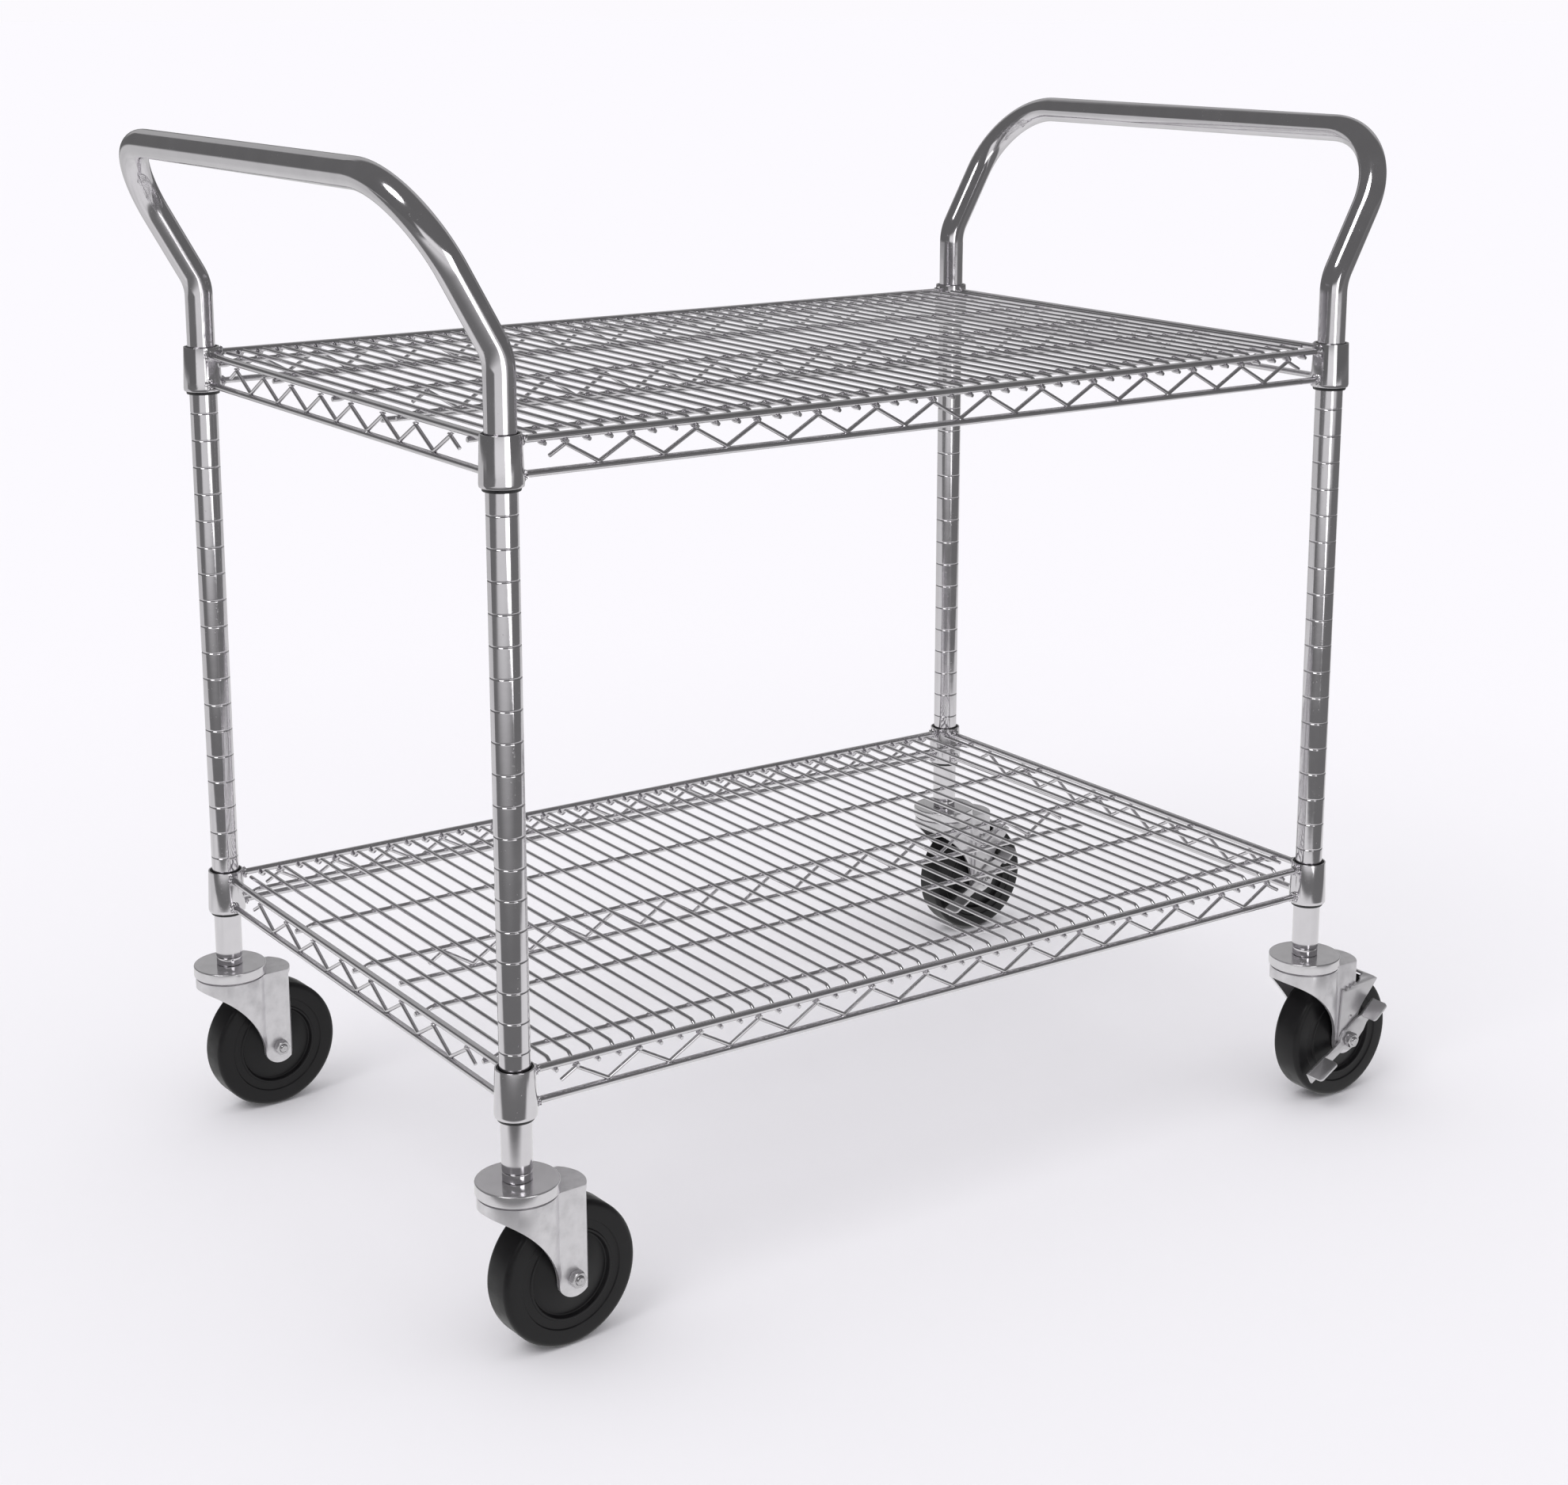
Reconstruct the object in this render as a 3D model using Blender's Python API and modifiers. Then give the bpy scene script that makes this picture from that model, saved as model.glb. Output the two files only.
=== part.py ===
"""Wire shelf cart: two welded wire shelves on four chromed posts, a bent tube handle at each end,
and four swivel casters on stems, two of them with a brake pedal.

Metres, +Z up. The floor is at Z = 0 and the long side runs along X. The origin is on the floor, in the
middle of the cart's footprint. Each caster is built in its own frame: +X is the way it trails, -Y is the
side of its axle nut. Each axle has a frame too: +Z points at the nut and +Y is up.
"""

import math

import bmesh
import bpy
from mathutils import Matrix

# Frame: posts, shelves and handles
POST_SPACING_X = 0.879
POST_SPACING_Y = 0.575
TUBE_RADIUS = 0.0127
TUBE_WALL = 0.0014
FIT_GAP = 0.0003
LOWER_COLLAR_TOP = 0.2477
SHELF_SPACING = 0.508
POST_BOTTOM = 0.1604
SEAM_BELOW_COLLAR_TOP = 0.015

# Collar and its split sleeve, measured from the collar's top
COLLAR_HEIGHT = 0.041
COLLAR_TOP_RADIUS = 0.0163
COLLAR_BOTTOM_RADIUS = 0.0178
COLLAR_WALL = 0.0014
SLEEVE_BORE = 0.0133
SLEEVE_LIP = 0.003
SLEEVE_SLIT = 0.0016
COLLAR_FACETS = 12

# Shelf wires, also measured from the collar's top
TOP_RAIL_DEPTH = 0.0067
BOTTOM_RAIL_DEPTH = 0.0337
TOP_RAIL_SIZE = 0.0064
BOTTOM_RAIL_SIZE = 0.0060
DECK_WIRE_SIZE = 0.0035
DECK_WIRE_PITCH = 0.01967
DECK_WIRE_COUNT = 44
SHORT_WIRE_REACH = 0.266
RIB_SIZE = 0.0046
RIB_PITCH = 0.120
RIB_COUNT = 5
ZIGZAG_SIZE = 0.0034
ZIGZAG_PITCH = 3 * DECK_WIRE_PITCH
LONG_PEAKS = 14
SHORT_PEAKS = 8
TRUSS_PEAKS = 13

# Handle
HANDLE_BEND_HEIGHT = 0.802
HANDLE_BEND_RADIUS = 0.045
HANDLE_LEAN = math.radians(29.3)
HANDLE_SLANT = 0.142
HANDLE_CORNER_RADIUS = 0.079
INSERT_RADIUS = 0.0105
INSERT_HALF_LENGTH = 0.035
SOCKET_LENGTH = 0.030

# Caster
WHEEL_RADIUS = 0.0625
WHEEL_WIDTH = 0.032
WHEEL_FACETS = 26
CASTER_TRAIL = 0.0395
LEG_INNER = 0.0185
SHEET = 0.003
LEG_OUTER = LEG_INNER + SHEET
SKIRT_RADIUS = 0.033
CROWN_UNDERSIDE = 0.1365
CROWN_TOP = 0.1400
CUP_TOP = 0.1417
PLATE_RADIUS = 0.0345
PLATE_UNDERSIDE = 0.1421
PLATE_TOP = 0.1522
STUD_RADIUS = 0.0060
AXLE_RADIUS = 0.0040
AXLE_CLEARANCE = 0.0003
NUT_RADIUS = 0.0075
NUT_THICKNESS = 0.0065
BALL_CIRCLE = 0.024
BALL_RADIUS = 0.0026
BALL_CLEARANCE = 0.0009
BALL_GROOVE_DEPTH = 0.0029
PIN_CLEARANCE = 0.0004

# Brake
SHOE_INNER = LEG_OUTER + FIT_GAP
SHOE_OUTER = SHOE_INNER + 0.002
SHOE_RADIUS = 0.065
SHOE_TRAVEL = 0.0015
SHOE_TRAVEL_ANGLE = math.radians(65)
PEDAL_INNER = SHOE_OUTER + FIT_GAP
PEDAL_OUTER = PEDAL_INNER + 0.0025
PEDAL_REACH = 0.0440
PEDAL_HALF_WIDTH = 0.006
PEDAL_BOSS = 0.0115

# The right wheels trail out past the handle, and the pedals stand out past the front posts, so the
# posts are shifted to keep the whole cart's box centred on the origin.
HANDLE_FOOT = HANDLE_BEND_RADIUS * (1 - math.cos(HANDLE_LEAN))
HANDLE_REACH = HANDLE_FOOT + HANDLE_SLANT * math.sin(HANDLE_LEAN) + TUBE_RADIUS
SHIFT_X = (HANDLE_REACH - CASTER_TRAIL - WHEEL_RADIUS) / 2
SHIFT_Y = (PEDAL_REACH - PLATE_RADIUS) / 2
LEFT = -POST_SPACING_X / 2 + SHIFT_X
RIGHT = POST_SPACING_X / 2 + SHIFT_X
FRONT = -POST_SPACING_Y / 2 + SHIFT_Y
BACK = POST_SPACING_Y / 2 + SHIFT_Y
UPPER_COLLAR_TOP = LOWER_COLLAR_TOP + SHELF_SPACING
TUBE_SEAM = UPPER_COLLAR_TOP - SEAM_BELOW_COLLAR_TOP

# Each corner: where its post stands, which way its caster trails, and whether it has a brake
CORNERS = {
    "front_left": (LEFT, FRONT, math.radians(3), False),
    "back_left": (LEFT, BACK, math.radians(3), False),
    "front_right": (RIGHT, FRONT, 0.0, True),
    "back_right": (RIGHT, BACK, 0.0, True),
}


def clear_scene():
    for old in list(bpy.data.objects):
        bpy.data.objects.remove(old)


def make_collection(name, hidden=False):
    made = bpy.data.collections.new(name)
    bpy.context.scene.collection.children.link(made)
    made.hide_render = hidden
    return made


def make_material(name, colour, metallic, roughness):
    made = bpy.data.materials.new(name)
    made.use_nodes = True
    shader = made.node_tree.nodes["Principled BSDF"]
    shader.inputs["Base Color"].default_value = (*colour, 1.0)
    shader.inputs["Metallic"].default_value = metallic
    shader.inputs["Roughness"].default_value = roughness
    return made


clear_scene()
PARTS = make_collection("wire_shelf_cart")
CUTTERS = make_collection("cutters", hidden=True)
CHROME = make_material("chrome", (0.80, 0.80, 0.82), 1.0, 0.08)
ZINC = make_material("zinc_plate", (0.66, 0.66, 0.67), 1.0, 0.32)
STEEL = make_material("plain_steel", (0.50, 0.50, 0.51), 1.0, 0.40)
BLACK_RUBBER = make_material("black_rubber", (0.012, 0.012, 0.013), 0.0, 0.45)
BLACK_PLASTIC = make_material("black_plastic", (0.015, 0.015, 0.016), 0.0, 0.40)
SHARP_ANGLE = math.radians(40)


def place(made, parent=None, location=(0, 0, 0), material=None):
    """Puts a finished piece in the cart's collection, with its round faces shaded smooth."""
    PARTS.objects.link(made)
    made.parent = parent
    made.location = location
    if material:
        made.data.materials.clear()
        made.data.materials.append(material)
    if made.type == "MESH":
        made.data.shade_smooth()
        made.data.set_sharp_from_angle(angle=SHARP_ANGLE)
    return made


def keep_as_tool(made, parent=None):
    """Puts a cutter or a guide where it is not rendered."""
    CUTTERS.objects.link(made)
    made.parent = parent
    made.hide_render = True
    made.display_type = "WIRE"
    return made


def bake(made):
    """The piece as its modifiers make it, as a mesh with its loose caps welded."""
    bpy.context.view_layer.update()
    graph = bpy.context.evaluated_depsgraph_get()
    mesh = bpy.data.meshes.new_from_object(made.evaluated_get(graph))
    work = bmesh.new()
    work.from_mesh(mesh)
    bmesh.ops.remove_doubles(work, verts=work.verts, dist=0.00001)
    work.to_mesh(mesh)
    work.free()
    bpy.data.objects.remove(made)
    return mesh


def combine(base, tool, operation):
    modifier = base.modifiers.new(operation.lower(), "BOOLEAN")
    modifier.operation = operation
    modifier.object = tool
    return base


def turned(name, profile, steps, closed=True):
    """A piece turned about Z. Its profile is (radius, height) points, down its outer side first."""
    mesh = bpy.data.meshes.new(name)
    points = [(radius, 0, height) for radius, height in profile]
    edges = [(i, i + 1) for i in range(len(points) - 1)]
    if closed:
        edges.append((len(points) - 1, 0))
    mesh.from_pydata(points, edges, [])
    made = bpy.data.objects.new(name, mesh)
    screw = made.modifiers.new("turn", "SCREW")
    screw.steps = steps
    screw.render_steps = steps
    screw.use_merge_vertices = True
    screw.merge_threshold = 0.00005
    return made


def prism(name, radius, bottom, top, sides):
    """A cylinder or a hexagon standing along Z."""
    mesh = bpy.data.meshes.new(name)
    work = bmesh.new()
    middle = Matrix.Translation((0, 0, (bottom + top) / 2))
    bmesh.ops.create_cone(
        work, cap_ends=True, segments=sides, radius1=radius, radius2=radius, depth=top - bottom, matrix=middle
    )
    work.to_mesh(mesh)
    work.free()
    return bpy.data.objects.new(name, mesh)


def box(name, low, high):
    mesh = bpy.data.meshes.new(name)
    work = bmesh.new()
    size = [b - a for a, b in zip(low, high)]
    middle = [(a + b) / 2 for a, b in zip(low, high)]
    bmesh.ops.create_cube(work, size=1, matrix=Matrix.Translation(middle) @ Matrix.Diagonal((*size, 1)))
    work.to_mesh(mesh)
    work.free()
    return bpy.data.objects.new(name, mesh)


def flat_piece(name, loops, bottom, top):
    """A flat outline, with any holes after its rim, as thick as bottom to top along Z."""
    curve = bpy.data.curves.new(name, "CURVE")
    curve.dimensions = "2D"
    curve.fill_mode = "BOTH"
    curve.extrude = (top - bottom) / 2
    for loop in loops:
        spline = curve.splines.new("POLY")
        spline.points.add(len(loop) - 1)
        for point, (x, y) in zip(spline.points, loop):
            point.co = (x, y, 0, 1)
        spline.use_cyclic_u = True
    rough = bpy.data.objects.new(name, curve)
    CUTTERS.objects.link(rough)
    mesh = bake(rough)
    mesh.transform(Matrix.Translation((0, 0, (bottom + top) / 2)))
    return bpy.data.objects.new(name, mesh)


def arc(radius, start, end, steps, centre=(0, 0)):
    """Points round a centre, with angles in radians and both ends included."""
    angles = [start + (end - start) * i / steps for i in range(steps + 1)]
    return [(centre[0] + radius * math.cos(a), centre[1] + radius * math.sin(a)) for a in angles]


def bezier(points, steps):
    """Points along a cubic curve through its first and last control points, both included."""
    made = []
    for i in range(steps + 1):
        t = i / steps
        weights = ((1 - t) ** 3, 3 * t * (1 - t) ** 2, 3 * t * t * (1 - t), t**3)
        made.append(tuple(sum(w * p[k] for w, p in zip(weights, points)) for k in (0, 1)))
    return made


def wire_curve(name, points, radius, resolution, caps=True, tilt=0.0):
    """A wire or a tube along points. Resolution 0 gives 4 sides and 3 gives 10."""
    curve = bpy.data.curves.new(name, "CURVE")
    curve.dimensions = "3D"
    curve.bevel_depth = radius
    curve.bevel_resolution = resolution
    curve.use_fill_caps = caps
    spline = curve.splines.new("POLY")
    spline.points.add(len(points) - 1)
    for point, place_at in zip(spline.points, points):
        point.co = (*place_at, 1)
        point.tilt = tilt
    return bpy.data.objects.new(name, curve)


def weld_wire(frame, points, size):
    """Adds a square wire, flat side up, to the collection that a shelf's collars are welded to."""
    rough = wire_curve("wire", points, size / math.sqrt(2), 0, tilt=math.pi / 4)
    CUTTERS.objects.link(rough)
    wire = bpy.data.objects.new("shelf_wire", bake(rough))
    frame.objects.link(wire)
    wire.hide_render = True
    wire.display_type = "WIRE"


def zigzag(peaks, top, bottom, hook):
    """(distance, height) points of a zigzag wire centred on 0, with a short hook at each end."""
    half = ZIGZAG_PITCH / 2
    steps = 2 * peaks - 1
    start = -(peaks - 1) * half
    points = [(start + i * half, top if i % 2 == 0 else bottom) for i in range(steps)]
    hook_height = top - (top - bottom) * hook / half
    return [(start - hook, hook_height)] + points + [(-start + hook, hook_height)]


def shelf_mesh():
    """One welded shelf about the middle of its posts, with Z = 0 at the top of its collars."""
    half_x = POST_SPACING_X / 2
    half_y = POST_SPACING_Y / 2
    frame = make_collection("shelf_wires", hidden=True)
    collar_slope = (COLLAR_BOTTOM_RADIUS - COLLAR_TOP_RADIUS) / COLLAR_HEIGHT
    rails = ((TOP_RAIL_DEPTH, TOP_RAIL_SIZE), (BOTTOM_RAIL_DEPTH, BOTTOM_RAIL_SIZE))
    for depth, size in rails:
        end = COLLAR_TOP_RADIUS + collar_slope * depth - COLLAR_WALL / 2
        for side in (-1, 1):
            reach_x = half_x - end
            reach_y = half_y - end
            weld_wire(frame, [(-reach_x, side * half_y, -depth), (reach_x, side * half_y, -depth)], size)
            weld_wire(frame, [(side * half_x, -reach_y, -depth), (side * half_x, reach_y, -depth)], size)
    rail_top = -TOP_RAIL_DEPTH + TOP_RAIL_SIZE / 2
    deck_height = rail_top - DECK_WIRE_SIZE / 2
    for i in range(DECK_WIRE_COUNT):
        x = (i - (DECK_WIRE_COUNT - 1) / 2) * DECK_WIRE_PITCH
        outermost = i in (0, DECK_WIRE_COUNT - 1)
        reach = SHORT_WIRE_REACH if outermost else half_y
        weld_wire(frame, [(x, -reach, deck_height), (x, reach, deck_height)], DECK_WIRE_SIZE)
    rib_height = deck_height - DECK_WIRE_SIZE / 2 - FIT_GAP - RIB_SIZE / 2
    for i in range(RIB_COUNT):
        y = (i - (RIB_COUNT - 1) / 2) * RIB_PITCH
        weld_wire(frame, [(-half_x, y, rib_height), (half_x, y, rib_height)], RIB_SIZE)
    peak = -TOP_RAIL_DEPTH - TOP_RAIL_SIZE / 2 - ZIGZAG_SIZE / 2 - FIT_GAP
    valley = -BOTTOM_RAIL_DEPTH + BOTTOM_RAIL_SIZE / 2
    hook = ZIGZAG_PITCH / 4
    for side in (-1, 1):
        long_run = zigzag(LONG_PEAKS, peak, valley, hook)
        weld_wire(frame, [(x, side * half_y, z) for x, z in long_run], ZIGZAG_SIZE)
        short_run = zigzag(SHORT_PEAKS, peak, valley, hook)
        weld_wire(frame, [(side * half_x, y, z) for y, z in short_run], ZIGZAG_SIZE)
    truss_end = (TRUSS_PEAKS + 0.5) * ZIGZAG_PITCH / 2
    truss_peak = rib_height - RIB_SIZE / 2
    weld_wire(frame, [(x, 0, z) for x, z in zigzag(TRUSS_PEAKS, truss_peak, valley, hook)], ZIGZAG_SIZE)
    chord = [(-truss_end, 0, -BOTTOM_RAIL_DEPTH), (truss_end, 0, -BOTTOM_RAIL_DEPTH)]
    weld_wire(frame, chord, BOTTOM_RAIL_SIZE)
    # The outermost short deck wires are carried by the ribs alone.
    for side in (-1, 1):
        x = side * (DECK_WIRE_COUNT - 1) / 2 * DECK_WIRE_PITCH
        post = [(x, 0, deck_height), (x, 0, rib_height)]
        weld_wire(frame, post, DECK_WIRE_SIZE - FIT_GAP)
    collar = turned("collar", collar_profile(), COLLAR_FACETS)
    CUTTERS.objects.link(collar)
    collar_ring = bake(collar)
    collar_places = [(x, y) for x in (-half_x, half_x) for y in (-half_y, half_y)]
    for x, y in collar_places[1:]:
        ring = bpy.data.objects.new("collar", collar_ring.copy())
        ring.location = (x, y, 0)
        frame.objects.link(ring)
        ring.hide_render = True
        ring.display_type = "WIRE"
    collar_ring.transform(Matrix.Translation((*collar_places[0], 0)))
    shelf = bpy.data.objects.new("shelf", collar_ring)
    CUTTERS.objects.link(shelf)
    weld = shelf.modifiers.new("weld", "BOOLEAN")
    weld.operation = "UNION"
    weld.operand_type = "COLLECTION"
    weld.collection = frame
    return bake(shelf)


def collar_profile():
    """The collar's ring: a tapered wall, widest near the bottom, where its edge is rolled in."""
    rolled = 0.003
    bottom = -COLLAR_HEIGHT
    outer_top = COLLAR_TOP_RADIUS
    outer_bottom = COLLAR_BOTTOM_RADIUS
    return [
        (outer_top, 0),
        (outer_bottom, bottom + rolled),
        (outer_bottom - 0.0008, bottom),
        (outer_bottom - COLLAR_WALL, bottom),
        (outer_top - COLLAR_WALL, 0),
    ]


def add_shelves():
    mesh = shelf_mesh()
    for name, top in (("upper_shelf", UPPER_COLLAR_TOP), ("lower_shelf", LOWER_COLLAR_TOP)):
        shelf = bpy.data.objects.new(name, mesh)
        place(shelf, location=(SHIFT_X, SHIFT_Y, top), material=CHROME)


def add_sleeves():
    """A slit plastic ring wedges each collar on its tube."""
    bottom = -COLLAR_HEIGHT
    top_radius = COLLAR_TOP_RADIUS - COLLAR_WALL - FIT_GAP
    bottom_radius = COLLAR_BOTTOM_RADIUS - COLLAR_WALL - FIT_GAP
    lip_radius = bottom_radius - 0.001
    profile = [
        (top_radius, 0),
        (bottom_radius, bottom),
        (lip_radius, bottom),
        (lip_radius, bottom - SLEEVE_LIP),
        (SLEEVE_BORE, bottom - SLEEVE_LIP),
        (SLEEVE_BORE, 0),
    ]
    slit = keep_as_tool(box("sleeve_slit", (0, -SLEEVE_SLIT / 2, -0.1), (0.03, SLEEVE_SLIT / 2, 0.1)))
    sleeve = combine(turned("sleeve", profile, COLLAR_FACETS), slit, "DIFFERENCE")
    CUTTERS.objects.link(sleeve)
    mesh = bake(sleeve)
    for level, top in (("upper", UPPER_COLLAR_TOP), ("lower", LOWER_COLLAR_TOP)):
        for corner, (x, y, _, _) in CORNERS.items():
            piece = bpy.data.objects.new(f"{level}_sleeve_{corner}", mesh)
            place(piece, location=(x, y, top), material=BLACK_PLASTIC)


def ring_profile(outer, inner, bottom, top):
    return [(outer, top), (outer, bottom), (inner, bottom), (inner, top)]


def add_posts():
    inner = TUBE_RADIUS - TUBE_WALL
    post = ring_profile(TUBE_RADIUS, inner, POST_BOTTOM, TUBE_SEAM)
    bush = ring_profile(INSERT_RADIUS, STUD_RADIUS + PIN_CLEARANCE, POST_BOTTOM, POST_BOTTOM + SOCKET_LENGTH)
    for corner, (x, y, _, _) in CORNERS.items():
        place(turned(f"post_{corner}", post, COLLAR_FACETS), location=(x, y, 0), material=CHROME)
        place(turned(f"stem_socket_{corner}", bush, 12), location=(x, y, 0), material=STEEL)


def handle_path():
    """One end's handle: (outward, across, height) points from the front leg to the back leg."""
    lean = HANDLE_LEAN
    leg = [(0, TUBE_SEAM + FIT_GAP)]
    for x, z in arc(HANDLE_BEND_RADIUS, 0, lean, 4):
        leg.append((HANDLE_BEND_RADIUS - x, HANDLE_BEND_HEIGHT + z))
    foot_x, foot_z = leg[-1]
    rise = []
    straight = HANDLE_SLANT - HANDLE_CORNER_RADIUS
    for x, z in arc(HANDLE_CORNER_RADIUS, math.pi, math.pi / 2, 6, (HANDLE_CORNER_RADIUS, straight)):
        rise.append((x, z))
    half = POST_SPACING_Y / 2
    front = [(x, -half, z) for x, z in leg]
    front += [(foot_x + up * math.sin(lean), -half + y, foot_z + up * math.cos(lean)) for y, up in rise]
    return front + [(x, -y, z) for x, y, z in reversed(front)]


def add_handles():
    for name, side in (("left_handle", -1), ("right_handle", 1)):
        points = [(SHIFT_X + side * (POST_SPACING_X / 2 + x), SHIFT_Y + y, z) for x, y, z in handle_path()]
        tube = wire_curve(name, points, TUBE_RADIUS, 3, caps=False)
        wall = tube.modifiers.new("wall", "SOLIDIFY")
        wall.thickness = TUBE_WALL
        wall.offset = -1
        place(tube, material=CHROME)
    low = TUBE_SEAM - INSERT_HALF_LENGTH
    high = TUBE_SEAM + INSERT_HALF_LENGTH
    insert = ring_profile(INSERT_RADIUS, INSERT_RADIUS - 0.002, low, high)
    for corner, (x, y, _, _) in CORNERS.items():
        place(turned(f"handle_insert_{corner}", insert, 12), location=(x, y, 0), material=STEEL)


def fork_mesh():
    """The pressed steel fork: a round skirt under the bearing that runs back into two flat legs."""
    rear = 0.060
    outer_angle = math.asin(LEG_OUTER / SKIRT_RADIUS)
    inner_radius = SKIRT_RADIUS - SHEET
    inner_angle = math.asin(LEG_INNER / inner_radius)
    outer = arc(SKIRT_RADIUS, outer_angle, 2 * math.pi - outer_angle, 12)
    inner = arc(inner_radius, 2 * math.pi - inner_angle, inner_angle, 12)
    plan = [(rear, LEG_OUTER)] + outer + [(rear, -LEG_OUTER), (rear, -LEG_INNER)] + inner + [(rear, LEG_INNER)]
    walls = flat_piece("fork", [plan], 0.040, CROWN_UNDERSIDE + 0.001)
    axle = (CASTER_TRAIL, WHEEL_RADIUS)
    eye = 0.0165
    rear_top = 0.051
    sweep = bezier(((0.0228, 0.0655), (0.0150, 0.0900), (-0.0080, 0.1250), (-0.036, 0.1330)), 6)
    side = [(-0.036, 0.150), (rear_top, 0.150), (rear_top, CROWN_TOP)]
    side += arc(eye, 0, -math.radians(170), 6, axle) + sweep
    profile = flat_piece("fork_side", [side], -0.05, 0.05)
    profile.data.transform(Matrix.Rotation(math.pi / 2, 4, "X"))
    keep_as_tool(profile)
    combine(walls, profile, "INTERSECT")
    corner = 0.006
    crown_rim = arc(SKIRT_RADIUS, outer_angle, 2 * math.pi - outer_angle, 12)
    crown_rim += arc(corner, -math.pi / 2, 0, 2, (rear_top - corner, -LEG_OUTER + corner))
    crown_rim += arc(corner, 0, math.pi / 2, 2, (rear_top - corner, LEG_OUTER - corner))
    combine(walls, keep_as_tool(flat_piece("crown", [crown_rim], CROWN_UNDERSIDE, CROWN_TOP)), "UNION")
    cup = keep_as_tool(prism("cup", SKIRT_RADIUS - 0.0005, CROWN_UNDERSIDE + 0.0005, CUP_TOP, 16))
    combine(walls, cup, "UNION")
    pin_hole = keep_as_tool(prism("pin_hole", STUD_RADIUS + PIN_CLEARANCE, 0.12, 0.16, 12))
    combine(walls, pin_hole, "DIFFERENCE")
    groove_half = BALL_RADIUS + BALL_CLEARANCE
    groove_floor = CUP_TOP - BALL_GROOVE_DEPTH
    groove = ring_profile(BALL_CIRCLE + groove_half, BALL_CIRCLE - groove_half, groove_floor, CUP_TOP + 0.002)
    combine(walls, keep_as_tool(turned("ball_groove", groove, 12)), "DIFFERENCE")
    axle_hole = keep_as_tool(prism("axle_hole", AXLE_RADIUS + AXLE_CLEARANCE, -0.05, 0.05, 8))
    axle_hole.data.transform(Matrix.Rotation(math.pi / 2, 4, "X"))
    axle_hole.data.transform(Matrix.Translation((CASTER_TRAIL, 0, WHEEL_RADIUS)))
    combine(walls, axle_hole, "DIFFERENCE")
    CUTTERS.objects.link(walls)
    return bake(walls)


def wheel_profile():
    """The wheel's section: tread, a recessed face on each side, and the hub round its bush."""
    half = WHEEL_WIDTH / 2
    hub = LEG_INNER - 0.0008
    tread = WHEEL_RADIUS / math.cos(math.pi / WHEEL_FACETS)
    side = [
        (tread, half - 0.0035),
        (tread - 0.0035, half),
        (0.0370, half),
        (0.0355, half - 0.004),
        (0.0150, hub),
        (STUD_RADIUS + PIN_CLEARANCE, hub),
    ]
    return list(reversed(side)) + [(radius, -height) for radius, height in side]


def plate_profile():
    groove_half = BALL_RADIUS + BALL_CLEARANCE
    bore = STUD_RADIUS + 0.0003
    return [
        (PLATE_RADIUS, PLATE_TOP),
        (PLATE_RADIUS, PLATE_UNDERSIDE),
        (BALL_CIRCLE + groove_half, PLATE_UNDERSIDE),
        (BALL_CIRCLE + groove_half, PLATE_UNDERSIDE + 0.003),
        (BALL_CIRCLE - groove_half, PLATE_UNDERSIDE + 0.003),
        (BALL_CIRCLE - groove_half, PLATE_UNDERSIDE),
        (bore, PLATE_UNDERSIDE),
        (bore, PLATE_TOP),
    ]


def stem_profile():
    """The stud that screws into the post, its shoulder, and the king pin riveted under the fork."""
    shoulder = TUBE_RADIUS - 0.0003
    foot = PLATE_TOP + FIT_GAP
    head_top = CROWN_UNDERSIDE - FIT_GAP
    return [
        (0, 0.190),
        (STUD_RADIUS, 0.190),
        (STUD_RADIUS, POST_BOTTOM - FIT_GAP),
        (shoulder, POST_BOTTOM - FIT_GAP),
        (shoulder, foot),
        (STUD_RADIUS, foot),
        (STUD_RADIUS, head_top),
        (0.0095, head_top),
        (0.0095, head_top - 0.0035),
        (0, head_top - 0.0035),
    ]


def bolt_mesh(end):
    """An axle bolt with its head on the far side and its thread out through the nut."""
    head_top = -LEG_OUTER - FIT_GAP
    shaft = prism("bolt", AXLE_RADIUS, head_top - 0.002, end, 12)
    head = keep_as_tool(prism("bolt_head", NUT_RADIUS, head_top - 0.0053, head_top, 6))
    combine(shaft, head, "UNION")
    CUTTERS.objects.link(shaft)
    return bake(shaft)


def nut_mesh():
    nut = prism("nut", NUT_RADIUS, 0, NUT_THICKNESS, 6)
    bore = keep_as_tool(prism("nut_bore", AXLE_RADIUS + AXLE_CLEARANCE, -0.01, 0.02, 12))
    combine(nut, bore, "DIFFERENCE")
    CUTTERS.objects.link(nut)
    return bake(nut)


def polar(distance, angle, offset=0.0):
    """A point along a direction from the axle, moved sideways to its left by offset."""
    x = distance * math.cos(angle) - offset * math.sin(angle)
    y = distance * math.sin(angle) + offset * math.cos(angle)
    return (x, y)


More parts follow.
